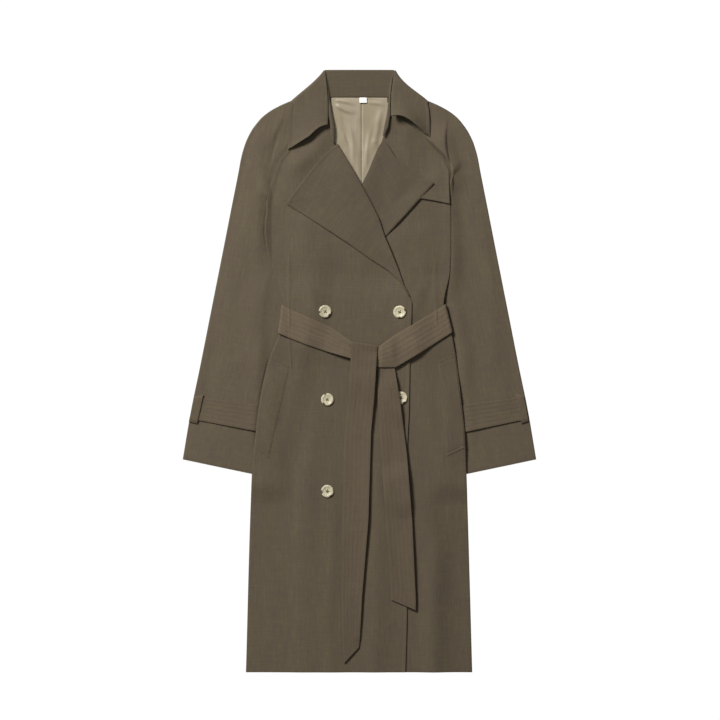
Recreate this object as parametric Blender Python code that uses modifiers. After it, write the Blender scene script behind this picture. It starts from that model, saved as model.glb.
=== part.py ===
"""Double-breasted raglan trench coat, laid face up on a flat surface.

Every piece of cloth is one wall bent from a flat grid. Places are given on the coat
in millimetres: u across (to the right, seen face up), v up from the hem, z up from
the surface. The model's origin is under the middle of the coat, +Y towards the collar.
"""
import bpy
import bmesh
from math import cos, exp, hypot, pi, sin

# --- driving sizes, in millimetres -------------------------------------------------
LENGTH = 1144.0          # hem to the top fold of the collar
WALL = 1.5               # one layer of coat cloth
COLLAR_WALL = 1.8        # two layers and interlining
BELT_WALL = 2.4          # two layers and interlining
STRAP_WALL = 1.8
LINING_WALL = 1.0
GAP = 0.3                # between neighbouring pieces
INSIDE = 1.9             # between the back and the lower front
SLACK = 0.5              # more room where cloth lies on cloth
LAYER = WALL + GAP + SLACK
TURN_STEPS = 2           # facets in a quarter turn of an edge
ROW_STEP = 26.0          # height between the rows of a body panel
FRONT_TOP = 1055.0       # top of the fronts, under the collar
SLEEVE_CROWN = 1.7       # how far a sleeve's front layer stands proud between its folds
BUTTON_RADIUS = 12.0
BUTTON_HEIGHT = 4.0

BACK_LEVEL = WALL / 2
FRONT_LEVEL = BACK_LEVEL + WALL + INSIDE
EDGE_TURN = (FRONT_LEVEL - BACK_LEVEL - GAP - 0.4 * WALL) / 2
SLEEVE_HEIGHT = FRONT_LEVEL + WALL / 2 + GAP + SLACK


# --- tables and how they are read ---------------------------------------------------
def table(columns, *rows):
    names = columns.split()
    return {name: [row[i] for row in rows] for i, name in enumerate(names)}


def secant(keys, values, i):
    return (values[i + 1] - values[i]) / (keys[i + 1] - keys[i])


def slope(keys, values, i):
    """Slope at a row: even, and flat at a turning point."""
    if i == 0:
        return secant(keys, values, 0)
    if i == len(keys) - 1:
        return secant(keys, values, i - 1)
    before, after = secant(keys, values, i - 1), secant(keys, values, i)
    return 0.0 if before * after <= 0 else 2 * before * after / (before + after)


def read(source, column, at):
    """Smooth value of a column, at a place in the table's first column."""
    keys = next(iter(source.values()))
    values = source[column]
    at = min(max(at, keys[0]), keys[-1])
    i = max(k for k in range(len(keys) - 1) if keys[k] <= at)
    width = keys[i + 1] - keys[i]
    x = (at - keys[i]) / width
    start, end = slope(keys, values, i) * width, slope(keys, values, i + 1) * width
    return (values[i] * (1 + 2 * x) * (1 - x) ** 2 + start * x * (1 - x) ** 2
            + values[i + 1] * x * x * (3 - 2 * x) + end * x * x * (x - 1))


def rise(value, start, end):
    """0 at start, 1 at end, soft between; start may be the larger."""
    x = min(max((value - start) / (end - start), 0.0), 1.0)
    return x * x * (3 - 2 * x)


def window(value, start, full, until, end):
    return rise(value, start, full) * (1 - rise(value, until, end))


# --- outlines -------------------------------------------------------------------------
SIDES = table(
    "height  left   right",
    (0,    -215.0,  213.5),
    (376,  -203.5,  202.5),
    (456,  -196.0,  199.0),
    (505,  -190.0,  194.0),
    (585,  -173.5,  184.5),
    (644,  -151.5,  174.0),
    (700,  -143.5,  159.6),
    (714,  -145.5,  161.5),
    (762,  -163.0,  171.5),
    (802,  -174.0,  173.0),
    (836,  -179.0,  173.0),
    (888,  -174.0,  172.5),
    (935,  -165.5,  170.5),
)
FRONT_RAGLAN = table(
    "height  left   right",
    (888,  -174.0,  172.5),
    (923,  -167.0,  171.5),
    (950,  -159.0,  170.0),
    (971,  -151.0,  160.0),
    (990,  -136.0,  142.0),
    (1010, -118.0,  122.0),
    (1032,  -98.0,  100.0),
    (1062,  -64.0,   64.0),
)
BACK_RAGLAN = table(
    "height  left   right",
    (888,  -174.0,  172.5),
    (923,  -167.0,  171.5),
    (950,  -159.0,  170.0),
    (975,  -148.0,  155.0),
    (1000, -132.0,  135.0),
    (1030, -108.0,  108.0),
    (1055,  -88.0,   88.0),
    (1091,  -58.0,   58.0),
)
ARMPIT = {"left": 905.0, "right": 952.0}

OVER_EDGE = table(       # the over front: roll line, then the straight edge
    "height  edge",
    (0,      87.0),
    (118,    90.0),
    (426,    91.0),
    (500,    94.0),
    (591,    95.5),
    (659,    98.0),
    (700,    99.0),
    (711,    97.0),
    (733,    85.0),
    (787,    66.0),
    (828,    48.0),
    (868,    35.0),
    (926,     3.5),
    (970,   -21.5),
    (1016,  -48.0),
    (1050,  -53.0),
)
UNDER_EDGE = table(      # the under front: hidden edge, then the roll line
    "height  edge",
    (0,     -78.0),
    (700,   -84.0),
    (740,   -74.0),
    (828,   -44.0),
    (890,   -16.0),
    (926,     4.0),
    (960,    20.0),
    (1017,   42.0),
    (1050,   52.0),
)
SILHOUETTE = table(      # outer fold of a sleeve, then the shoulder
    "height  outer",
    (404,   335.0),
    (498,   319.0),
    (578,   302.5),
    (684,   281.5),
    (790,   260.5),
    (897,   239.5),
    (950,   229.0),
    (977,   224.0),
    (1003,  216.5),
    (1018,  210.0),
    (1030,  203.0),
    (1041,  194.5),
    (1049,  187.0),
    (1056,  178.5),
    (1064,  167.0),
    (1072,  152.0),
    (1077,  139.5),
    (1079.5, 130.0),
    (1082,  121.5),
    (1087,  112.0),
    (1095,   98.0),
    (1103,   82.0),
    (1108,   67.0),
)
SLEEVE_INNER = table(    # the sleeve's inner fold, under the body
    "height  left   right",
    (371,   178.0,  178.0),
    (545,   140.0,  140.0),
    (704,   106.0,  106.0),
    (790,   102.0,  100.0),
    (815,   106.0,  104.0),
    (845,   128.0,  110.0),
    (857,   150.0,  114.0),
    (870,   170.0,  119.0),
    (881,   176.5,  126.0),
    (900,   174.5,  146.0),
    (915,   171.0,  167.0),
    (928,   168.0,  173.5),
    (940,   164.5,  173.0),
)
SLEEVE_ROWS = table(     # heights of a row's ends: outer fold, front seam, back seam
    "row  outer   front   back",
    (0,    404,    371,    371),
    (4,    578,    545,    545),
    (8,    737,    704,    704),
    (11,   844,    805,    805),
    (13,   905,    862,    862),
    (15,   950,    905,    905),
    (17,   990,    944,    944),
    (19,  1022,    968,    972),
    (21,  1049,    993,   1004),
    (23,  1072,   1018,   1036),
    (25,  1090,   1038,   1062),
    (27,  1107,   1061,   1088),
)
FOLDS = table(           # soft ridges pressed into the fronts
    "top_u  top_v  foot_u  foot_v  width  height",
    (118,   560,   130,    -20,    26,    2.4),
    (-62,   570,   -84,    -20,    30,    1.8),
    (-140,  400,  -158,    -20,    24,    1.5),
    (-98,   890,  -112,    745,    26,    1.4),
    (120,   860,   122,    745,    22,    1.6),
    (30,    520,    38,    -20,    20,    1.3),
)


def side_of(u):
    return "left" if u < 0 else "right"


def front_outer(side, v):
    return read(SIDES if v < SIDES["height"][-2] else FRONT_RAGLAN, side, v)


def back_outer(side, v):
    return read(SIDES if v < SIDES["height"][-2] else BACK_RAGLAN, side, v)


def side_fold(side, v):
    """1 below the armpit, where a panel's side is a fold, 0 above, where it is a raglan seam."""
    return 1 - rise(v, ARMPIT[side] - 22, ARMPIT[side] + 2)


def sleeve_seam(raglan, side, v):
    """Distance from the middle to the sleeve's front or back seam, or to its inner fold."""
    ease = 0.9
    if v >= SLEEVE_INNER["height"][-1]:
        return abs(read(raglan, side, v)) + ease
    return read(SLEEVE_INNER, side, v)


# --- how high each layer lies ---------------------------------------------------------
def over_sleeve(u, v):
    """Lift of whatever lies on the hidden strip of a sleeve."""
    side = side_of(u)
    inner = read(SLEEVE_INNER, side, v - 12)
    across = rise(abs(u), inner - 62, inner - 14)
    armpit = ARMPIT[side]
    along = rise(v, 290, 352) * (1 - rise(v, armpit - 25, armpit + 45))
    return SLEEVE_HEIGHT * across * along


def over_collar(u, v):
    """Lift over the part of the collar that is folded under the back of the neck."""
    return (COLLAR_WALL + GAP) * rise(v, 1012, 1056) * rise(abs(u), 178, 140)


def ground(u, v):
    """Underside of the body of the coat."""
    strap = (STRAP_WALL + GAP + SLACK) * rise(abs(u), 140, 174) * window(v, 385, 440, 525, 585)
    belt = (BELT_WALL + GAP + SLACK) * window(v, 575, 632, 706, 765)
    return over_sleeve(u, v) + over_collar(u, v) + strap + belt


def fold_height(u, v):
    """Height of the pressed ridges; those that reach the hem run out over it."""
    total = 0.0
    for top_u, top_v, foot_u, foot_v, width, height in zip(*FOLDS.values()):
        along = (top_v - v) / (top_v - foot_v)
        middle = top_u + (foot_u - top_u) * along
        to_hem = foot_v < 0
        fade = window(along, 0.0, 0.35, 1.05, 1.4) if to_hem else window(along, 0.0, 0.4, 0.6, 1.0)
        total += height * fade * exp(-((u - middle) / width) ** 2)
    return total


def under_level(u, v):
    """Middle of the under front's wall."""
    return ground(u, v) + FRONT_LEVEL + fold_height(u, v)


def over_level(u, v):
    """Middle of the over front's wall: it climbs on the under front and on its lapel."""
    overlap = (LAYER + 0.3) * rise(u, -143, -92) * (1 - rise(v, 940, 1000))
    lapel = (LAYER + 0.8) * rise(u, -85, -30) * window(v, 735, 800, 945, 1002)
    return under_level(u, v) + overlap + lapel


def top_of_fronts(u, v):
    edge = read(OVER_EDGE, "edge", v)
    share = 1 - rise(u, edge + 8, edge + 44)
    under = under_level(u, v)
    return under + (over_level(u, v) - under) * share + WALL / 2


# --- walls ------------------------------------------------------------------------------
def turned(step, radius, amount=1.0):
    """Inset and drop of the wall at a step of a quarter turn, 0 at the edge itself."""
    angle = (1 - step / TURN_STEPS) * pi / 2
    even = radius * step / TURN_STEPS
    inset = even + (radius * (1 - sin(angle)) - even) * amount
    return inset, radius * (1 - cos(angle)) * amount


def edge_turn(i, count, radius, start, end, amount=1.0):
    """Fraction between the two edges, inset from the nearer one and drop, at column i."""
    first = TURN_STEPS if start else 0
    last = count - (TURN_STEPS if end else 0)
    share = min(max((i - first) / (last - first), 0.0), 1.0)
    if i < first:
        return (share,) + turned(i, radius, amount)
    if i > last:
        inset, drop = turned(count - i, radius, amount)
        return share, -inset, drop
    return share, radius * ((1 - share) * bool(start) - share * bool(end)), 0.0


def sheet(name, finish, columns, rows, place, wall):
    """One piece of cloth: place(i, j) is the middle of its wall, as u, v, z."""
    mesh = bpy.data.meshes.new(name)
    cloth = bmesh.new()
    bmesh.ops.create_grid(cloth, x_segments=columns, y_segments=rows, size=1.0)
    for vert in cloth.verts:
        i = round((vert.co.x + 1) / 2 * columns)
        j = round((vert.co.y + 1) / 2 * rows)
        u, v, z = place(i, j)
        vert.co = (u / 1000, (v - LENGTH / 2) / 1000, z / 1000)
    cloth.to_mesh(mesh)
    cloth.free()
    piece = bpy.data.objects.new(name, mesh)
    coat.objects.link(piece)
    mesh.materials.append(finish)
    thick = piece.modifiers.new("Wall", "SOLIDIFY")
    thick.thickness = wall / 1000
    thick.offset = 0.0
    mesh.shade_smooth()
    mesh.set_sharp_from_angle(angle=0.7)
    return piece


def material(name, colour, roughness):
    finish = bpy.data.materials.new(name)
    finish.use_nodes = True
    shader = finish.node_tree.nodes["Principled BSDF"]
    shader.inputs["Base Color"].default_value = (*colour, 1.0)
    shader.inputs["Roughness"].default_value = roughness
    shader.inputs["Metallic"].default_value = 0.0
    return finish


# --- body ---------------------------------------------------------------------------------
def make_back():
    """Back, one panel: its sides turn up to meet the fronts."""
    columns, rows, top = 20, 43, 1091.0

    def place(i, j):
        v = min(j * ROW_STEP, top)
        left, right = back_outer("left", v), back_outer("right", v)
        amount = side_fold("left" if i < columns / 2 else "right", v)
        share, inset, drop = edge_turn(i, columns, EDGE_TURN, True, True, amount)
        u = left + (right - left) * share + inset
        return u, v, ground(u, v) + BACK_LEVEL + drop

    return sheet("back", cloth_finish, columns, rows, place, WALL)


def make_front(name, side, inner, level, columns):
    """A front: from its free edge to the side fold and the raglan seam."""
    rows = 41
    hand = -1 if side == "left" else 1
    roll_inset = 3.2

    def place(i, j):
        v = min(j * ROW_STEP, FRONT_TOP)
        share, inset, drop = edge_turn(i, columns, EDGE_TURN, False, True, side_fold(side, v))
        folded = roll_inset * rise(v, 700, 718)
        free = read(inner, "edge", v) + hand * folded
        outer = front_outer(side, v)
        u = free + (outer - free) * share + hand * inset
        return u, v, level(u, v) - drop

    return sheet(name, cloth_finish, columns, rows, place, WALL)


def make_sleeve(side):
    """A sleeve, one piece: front layer, outer fold, back layer, and an underarm seam."""
    hand = -1 if side == "left" else 1
    front_flats, bend, back_flats = 6, 4, 4
    columns = TURN_STEPS + front_flats + bend + back_flats + TURN_STEPS
    rows = 27

    def place(i, j):
        row = SLEEVE_ROWS["row"][-1] * j / rows
        outer_v = read(SLEEVE_ROWS, "outer", row)
        front_v, back_v = read(SLEEVE_ROWS, "front", row), read(SLEEVE_ROWS, "back", row)
        outer_u = read(SILHOUETTE, "outer", outer_v)
        on_front = i <= TURN_STEPS + front_flats + bend / 2
        end_v = front_v if on_front else back_v
        end_u = sleeve_seam(FRONT_RAGLAN if on_front else BACK_RAGLAN, side, end_v)
        closed = 1 - rise(end_v, ARMPIT[side] - 40, ARMPIT[side] - 22)
        radius = (FRONT_LEVEL - BACK_LEVEL) / 2
        from_end = i if on_front else columns - i
        steps = front_flats if on_front else back_flats
        length = hypot(outer_u - end_u, outer_v - end_v)
        if from_end < TURN_STEPS:
            along, drop = turned(from_end, EDGE_TURN, closed)
        elif from_end <= TURN_STEPS + steps:
            share = (from_end - TURN_STEPS) / steps
            along, drop = EDGE_TURN + (length - radius - EDGE_TURN) * share, 0.0
        else:
            angle = (from_end - TURN_STEPS - steps) / bend * pi
            along, drop = length - radius + radius * sin(angle), radius * (1 - cos(angle))
        u = hand * (end_u + (outer_u - end_u) * along / length)
        v = end_v + (outer_v - end_v) * along / length
        if not on_front:
            return u, v, over_collar(u, v) + BACK_LEVEL + drop
        body_u = abs(front_outer(side, v))
        share = min(max((abs(u) - body_u - 2) / (abs(outer_u) - body_u - 4), 0.0), 1.0)
        puff = SLEEVE_CROWN * sin(pi * share) * (1 - rise(v, 850, 960))
        above_armpit = rise(end_v, ARMPIT[side] - 4, ARMPIT[side] + 8)
        follow = ground(hand * end_u, end_v) * (1 - rise(along, 4, 40)) * above_armpit
        lift = max(over_collar(u, v), follow)
        return u, v, lift + FRONT_LEVEL + puff - drop

    return sheet("sleeve_" + side, cloth_finish, columns, rows, place, WALL)


# --- lapels and chest ---------------------------------------------------------------------
OVER_LAPEL = table(
    "row  roll_u  roll_v  edge_u  edge_v  lift",
    (0,   -40.5,  1003,   -53,    995,    0.6),
    (1,   -33.5,   991,   -71,    979,    0.8),
    (2,   -19.5,   967,  -103,    940,    1.0),
    (3,     2.0,   929,  -136,    897,    1.2),
    (4,     7.0,   920,  -138,    889,    1.4),
    (5,    22.5,   891,   -98,    864,    2.6),
    (6,    37.5,   861,   -62,    841,    3.4),
    (7,    48.0,   828,   -21,    814,    3.6),
    (8,    59.0,   802,    20,    785,    3.4),
    (9,    73.0,   768,    54,    763,    3.0),
    (10,   85.0,   733,    77,    742,    2.0),
    (11,   95.5,   713,    91,    719,    1.0),
)
UNDER_LAPEL = table(
    "row  roll_u  roll_v  edge_u  edge_v  lift",
    (0,    43.0,  1008,    51,   1006,    0.6),
    (1,    36.0,   998,    68,    978,    0.8),
    (2,    27.0,   977,   100,    951,    1.2),
    (3,    16.0,   950,   138,    932,    1.8),
    (4,    12.0,   942,   141,    928,    2.2),
    (5,     3.0,   924,   112,    896,    3.0),
    (6,    -3.0,   910,    84,    865,    2.8),
    (7,    -8.0,   897,    58,    837,    0.8),
    (8,   -12.0,   886,    44,    821,    0.2),
)


def straight(source, column, at):
    """Value of a column with straight lines between its rows, so corners stay sharp."""
    values = source[column]
    i = min(int(at), len(values) - 2)
    return values[i] + (values[i + 1] - values[i]) * (at - i)


def make_lapel(name, lines, hand, level, over_flap):
    """A lapel: it turns over the roll line and its free edges stand off a little."""
    columns, rows = 9, lines["row"][-1]
    turn = 1.1

    def place(i, j):
        row = rows - j
        roll = lines["roll_u"][row], lines["roll_v"][row]
        edge = lines["edge_u"][row], lines["edge_v"][row]
        share, inset, drop = edge_turn(i, columns, turn, True, False)
        length = hypot(edge[0] - roll[0], edge[1] - roll[1])
        share += (inset + WALL / 2) / length * (1 - share)
        u = roll[0] + (edge[0] - roll[0]) * share
        v = roll[1] + (edge[1] - roll[1]) * share
        lift = lines["lift"][row] * share ** 3 + over_flap * LAYER * rise(u, 40, 80)
        return u, v, level(u, v) + LAYER + lift - drop

    return sheet(name, cloth_finish, columns, rows, place, WALL)


def make_storm_flap():
    """Storm flap: lies on the under front's chest, set into the raglan seam."""
    columns, rows, free = 8, 8, 88.0
    low_free, low_side, top = 903.0, 889.0, 990.0
    seam_ease, fold_ease = 1.2, 1.5

    def place(i, j):
        share = i / columns
        low = low_free + (low_side - low_free) * share
        v = low + (top - low) * j / rows
        outer = front_outer("right", v) - seam_ease - fold_ease * side_fold("right", v)
        u = free + (outer - free) * share
        return u, v, under_level(u, v) + LAYER + 0.8 * (1 - rise(v, low, low + 30))

    return sheet("storm_flap", cloth_finish, columns, rows, place, WALL)


# --- collar ---------------------------------------------------------------------------------
LEAF = table(            # roll line and tip of the leaf on each front
    "hand   low_u   low_v    corner_u  tip_u   tip_v   bow    turns  hollow",
    (-1,    60.0,   1039.0,  67.0,     136.0,  992.0,  5.5,   2.2,   2.5),
    (1,     60.0,   1055.0,  68.5,     133.5,  1016.0, 17.0,  1.0,   5.0),
)
SHOULDER = (132.0, 1083.0)
FALL_EDGE = 1079.0
LEAF_LEVEL = 9.2
STAND_LEVEL = 3.9
COLLAR_TURN = (STAND_LEVEL - COLLAR_WALL / 2 - GAP - 0.4 * COLLAR_WALL) / 2


def make_fall():
    """Fall of the collar: a leaf on each front, folded round the shoulders under the neck."""
    leaf_parts, bend, back_parts = 7, 4, 10
    columns = 2 * (leaf_parts + bend) + back_parts
    flats = 6
    rows = TURN_STEPS + flats
    floor_level = COLLAR_WALL / 2
    corner_level = 6.2
    wave = 4.0
    corner_ease, corner_dip = 4.0, 2.0

    def top_level(share, along):
        level = corner_level + (LEAF_LEVEL - corner_level) * rise(share + (1 - along), 0.0, 0.35)
        return level + wave * (1 - along) ** 2 * sin(pi * share)

    def hollow_at(leaf, way):
        """How far the fold over the shoulder is hollowed in from a straight line."""
        return leaf["hollow"] * 6.75 * way * (1 - way) ** 2

    def between(start, end, share, step):
        """Point on a line from the roll to the outer edge, the share of it, and the drop of the turn."""
        length = hypot(end[0] - start[0], end[1] - start[1])
        inset, drop = turned(step, COLLAR_TURN)
        free = length - inset - COLLAR_WALL / 2
        way = 1 - free * (1 - share) / length
        return start[0] + (end[0] - start[0]) * way, start[1] + (end[1] - start[1]) * way, way, drop

    def place(i, j):
        j = rows - j
        step = min(j, TURN_STEPS)
        share = max(j - TURN_STEPS, 0) / flats
        hand = -1 if i <= columns / 2 else 1
        k = i if hand < 0 else columns - i
        leaf = {name: values[LEAF["hand"].index(hand)] for name, values in LEAF.items()}
        corner = (leaf["corner_u"], LENGTH)
        line = hypot(SHOULDER[0] - corner[0], SHOULDER[1] - corner[1])
        out = ((corner[1] - SHOULDER[1]) / line, (SHOULDER[0] - corner[0]) / line)
        if k <= leaf_parts:
            along = k / leaf_parts
            start = (leaf["low_u"] + (corner[0] - leaf["low_u"]) * along,
                     leaf["low_v"] + (corner[1] - leaf["low_v"]) * along)
            end = (leaf["tip_u"] + (SHOULDER[0] - leaf["tip_u"]) * along,
                   leaf["tip_v"] + (SHOULDER[1] - leaf["tip_v"]) * along)
            u, v, way, drop = between(start, end, share, step)
            arc = max(sin(leaf["turns"] * pi * way), -0.1) * max(1 - way, 0.0) ** 0.6
            v += leaf["bow"] * (1 - along) ** 2 * arc
            level = top_level(way, along)
            pull = ((level - floor_level) / 2 + COLLAR_WALL / 2) * along ** 6
            pull += hollow_at(leaf, way) * along ** 3
            return hand * (u - out[0] * pull), v - out[1] * pull, level - drop
        if k <= leaf_parts + bend:
            u, v, way, drop = between(corner, SHOULDER, share, step)
            angle = (k - leaf_parts) / bend * pi
            level = top_level(way, 1.0)
            radius = (level - floor_level) / 2
            out_by = (radius - drop) * sin(angle) - radius - COLLAR_WALL / 2 - hollow_at(leaf, way)
            z = (level + floor_level) / 2 + (radius - drop) * cos(angle)
            return hand * (u + out[0] * out_by), v + out[1] * out_by, z
        across = (k - leaf_parts - bend) / (back_parts / 2)
        pull = (top_level(1.0, 1.0) - floor_level) / 2 + COLLAR_WALL / 2
        side_edge = SHOULDER[1] - out[1] * pull
        start = (corner[0] - out[0] * corner_ease) * (1 - across), LENGTH - corner_dip * (1 - across) ** 4
        end = ((SHOULDER[0] - out[0] * pull) * (1 - across),
               side_edge + (FALL_EDGE - side_edge) * rise(across, 0, 0.4))
        u, v, way, drop = between(start, end, share, step)
        fade = hollow_at(leaf, way) * (1 - across) ** 2
        return hand * (u - out[0] * fade), v - out[1] * fade, floor_level + drop

    return sheet("collar_fall", cloth_finish, columns, rows, place, COLLAR_WALL)


STAND = table(           # neck seam to roll edge, from the centre back round to the front end
    "row  seam_u  seam_v  roll_u  roll_v  lift",
    (0,     0.0,  1092.3,   0.0,  1144.0,  0.0),
    (1,    22.0,  1092.3,  24.0,  1144.0,  0.0),
    (2,    42.0,  1092.3,  46.0,  1144.0,  0.0),
    (3,    52.0,  1092.3,  59.0,  1143.2,  0.0),
    (4,    55.0,  1092.3,  60.5,  1122.0,  0.0),
    (5,    56.0,  1091.3,  60.0,  1104.0,  0.8),
    (6,    55.0,  1083.0,  60.0,  1091.0,  2.7),
    (7,    54.0,  1070.0,  59.5,  1075.0,  4.4),
    (8,    51.5,  1054.0,  58.0,  1057.0,  4.6),
    (9,    47.5,  1034.0,  55.5,  1036.0,  4.2),
    (10,   43.5,  1018.0,  50.0,  1019.0,  3.6),
)
STAND_END = {-1: 13.0, 1: 0.0}   # how much further down each front end reaches


def make_stand():
    """Stand of the collar: its inner face shows at the neck, its ends run down the fronts."""
    half = STAND["row"][-1]
    columns, rows = 2 * half, 4 + TURN_STEPS

    def place(i, j):
        hand = -1 if i <= half else 1
        row = abs(i - half)
        seam = STAND["seam_u"][row], STAND["seam_v"][row]
        roll = STAND["roll_u"][row], STAND["roll_v"][row]
        top = 1 - rise(row, 3.0, 3.6)
        share, inset, drop = edge_turn(j, rows, COLLAR_TURN, False, True, top)
        length = hypot(roll[0] - seam[0], roll[1] - seam[1])
        share += (inset - top * COLLAR_WALL / 2 * share) / length
        u = seam[0] + (roll[0] - seam[0]) * share
        v = seam[1] + (roll[1] - seam[1]) * share
        v -= STAND_END[hand] * rise(row, 8.0, 10.0)
        return hand * u, v, STAND_LEVEL + STAND["lift"][row] - drop

    return sheet("collar_stand", cloth_finish, columns, rows, place, COLLAR_WALL)


# --- lining and tab ---------------------------------------------------------------------
LINING_EDGE = table(
    "height  half",
    (872,    24.0),
    (926,    36.0),
    (1017,   66.0),
    (1060,   64.0),
    (1075,   60.0),
    (1083,   53.0),
    (1091,   53.0),
)
LINING_SEAM = 4.0
LINING_LEVEL = WALL + GAP + 0.2 + LINING_WALL / 2


def make_lining(side):
    """Half of the back lining, as far as the open neck shows it."""
    columns, rows = 6, 14
    hand = -1 if side == "left" else 1
    low, top = LINING_EDGE["height"][0], LINING_EDGE["height"][-1]

    def place(i, j):
        v = low + (top - low) * j / rows
        seam = LINING_SEAM + hand * GAP / 2
        u = seam + (hand * read(LINING_EDGE, "half", v) - seam) * i / columns
        return u, v, ground(u, v) + LINING_LEVEL

    return sheet("lining_" + side, lining_finish, columns, rows, place, LINING_WALL)


def make_tab():
    """Bare woven tab, sewn at the back of the neck."""
    width, height, top = 14.0, 10.0, 1091.0
    columns, rows = 4, 3

    def place(i, j):
        u, v = width * i / columns, top - height * (1 - j / rows)
        return u, v, ground(u, v) + LINING_LEVEL + LINING_WALL + GAP

    return sheet("neck_tab", tab_finish, columns, rows, place, LINING_WALL)


# --- pockets and cuffs --------------------------------------------------------------------
WELTS = table(           # inner corners, and the heights of the corners at the side fold
    "hand  top_u  top_v  foot_u  foot_v  side_top_v  side_foot_v",
    (-1,   -132,  581,   -172,   408,    599,        428),
    (1,     149,  591,    165,   410,    602,        426),
)
WELT_EASE = 1.9          # from a welt to the side fold


def make_welt(side, level):
    """Slanted pocket welt, from its stitched inner edge to the side fold."""
    columns, rows = 4, 12
    hand = -1 if side == "left" else 1
    welt = {name: values[WELTS["hand"].index(hand)] for name, values in WELTS.items()}

    def place(i, j):
        across, along = i / columns, j / rows
        foot_v = welt["foot_v"] + (welt["side_foot_v"] - welt["foot_v"]) * across
        top_v = welt["top_v"] + (welt["side_top_v"] - welt["top_v"]) * across
        v = foot_v + (top_v - foot_v) * along
        inner = welt["foot_u"] + (welt["top_u"] - welt["foot_u"]) * along
        outer = front_outer(side, v) - hand * WELT_EASE
        u = inner + (outer - inner) * across
        return u, v, level(u, v) + LAYER

    return sheet("pocket_welt_" + side, cloth_finish, columns, rows, place, WALL)


STRAPS = {                # inner top, outer top, inner foot, outer foot
    "left": ((-182, 506), (-306, 522), (-187, 456), (-315, 480)),
    "right": ((186, 506), (306, 522), (190, 454), (315, 480)),
}
LOOPS = {
    "left": ((-296, 527), (-313, 524), (-308, 472), (-324, 476)),
    "right": ((296, 529), (312, 526), (307, 472), (321, 477)),
}
ROW_SLANT = 0.21         # fall of a sleeve's rows towards the body
HEM_CORNER = 335.0


def on_sleeve(u, v):
    """Top of a sleeve's front layer near the cuff."""
    body_u = abs(front_outer(side_of(u), v))
    outer_u = read(SILHOUETTE, "outer", v + ROW_SLANT * (HEM_CORNER - abs(u)))
    share = min(max((abs(u) - body_u - 2) / (outer_u - body_u - 4), 0.0), 1.0)
    return FRONT_LEVEL + WALL / 2 + SLEEVE_CROWN * sin(pi * share)


def make_band(name, corners, wall, level, columns, rows):
    """A flat strip between four corners: inner top, outer top, inner foot, outer foot."""
    inner_top, outer_top, inner_foot, outer_foot = corners

    def place(i, j):
        across, along = i / columns, j / rows
        foot = [a + (b - a) * across for a, b in zip(inner_foot, outer_foot)]
        head = [a + (b - a) * across for a, b in zip(inner_top, outer_top)]
        u = foot[0] + (head[0] - foot[0]) * along
        v = foot[1] + (head[1] - foot[1]) * along
        return u, v, level(u, v, along)

    return sheet(name, cloth_finish, columns, rows, place, wall)


def make_strap(side):
    def level(u, v, along):
        return on_sleeve(u, v) + GAP + STRAP_WALL / 2

    return make_band("cuff_strap_" + side, STRAPS[side], STRAP_WALL, level, 6, 3)


def make_loop(side):
    """Loop that carries the strap: its ends lie on the sleeve."""
    rise_over = STRAP_WALL + GAP + 0.4

    def level(u, v, along):
        return on_sleeve(u, v) + GAP + WALL / 2 + rise_over * window(along, -0.1, 0.12, 0.88, 1.1)

    return make_band("cuff_loop_" + side, LOOPS[side], WALL, level, 2, 8)


# --- belt -----------------------------------------------------------------------------------
BELT_LEFT = table(
    "row  top_u  top_v  low_u  low_v",
    (0,   -148,  698,   -155,  645),
    (1,   -134,  690,   -136,  636),
    (2,    -95,  673,   -100,  622),
    (3,    -52,  654,    -58,  608),
    (4,    -16,  628,    -20,  597),
    (5,      6,  618,      4,  590),
)
BELT_RIGHT = table(
    "row  top_u  top_v  low_u  low_v",
    (0,    164,  699,    177,  646),
    (1,    135,  681,    147,  627),
    (2,     99,  659,    108,  602),
    (3,     66,  640,     69,  579),
    (4,     36,  617.5,   36,  579),
    (5,     -9,  612,     -9,  593),
)
BELT_BACK = table(
    "row  top_u  top_v  low_u  low_v",
    (0,   -148,  698,   -155,  645),
    (1,   -100,  696,   -102,  643),
    (2,    -50,  694,    -50,  641),
    (3,      5,  693,      5,  640),
    (4,     60,  694,     62,  641),
    (5,    110,  696,    115,  643),
    (6,    164,  699,    177,  646),
)
TAIL_LONG = table(
    "row  top_u  top_v  low_u  low_v",
    (0,    -15,  628,     34,  621),
    (1,    -16,  612,     33,  606),
    (2,    -17,  590,     32,  585),
    (3,    -21,  521,     28,  521),
    (4,    -28,  455,     22,  455),
    (5,    -33,  289,     17,  289),
    (6,    -34,  144,      5,  144),
    (7,    -32,   60,      1,   70),
    (8,    -29,   18,     -1,   48),
)
TAIL_SHORT = table(
    "row  top_u  top_v  low_u  low_v",
    (0,     34,  600,     66,  600),
    (1,     34,  577,     67,  577),
    (2,     35,  509,     78,  509),
    (3,     41,  415,     90,  415),
    (4,     50,  289,    100,  289),
    (5,     60,  151,    107,  140),
    (6,     60,  138,    107,  118),
)
BUTTONS = table(
    "number  u      v      covered",
    (1,      -65,   685,   0),
    (2,       76,   684,   0),
    (3,      -61,   518,   0),
    (4,       79,   521,   1),
    (5,      -61,   344,   0),
    (6,       81,   346,   1),
)
ON_FRONTS = GAP + SLACK + BELT_WALL / 2
FRONT_TO_BACK_BELT = SLACK + GAP + BELT_WALL / 2 + FRONT_LEVEL + WALL / 2 + ON_FRONTS
BELT_TURN = (FRONT_TO_BACK_BELT - GAP - 0.4 * BELT_WALL) / 2
TAIL_TURN = 1.2          # the long tail comes out of the half knot over the two stretches


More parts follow.
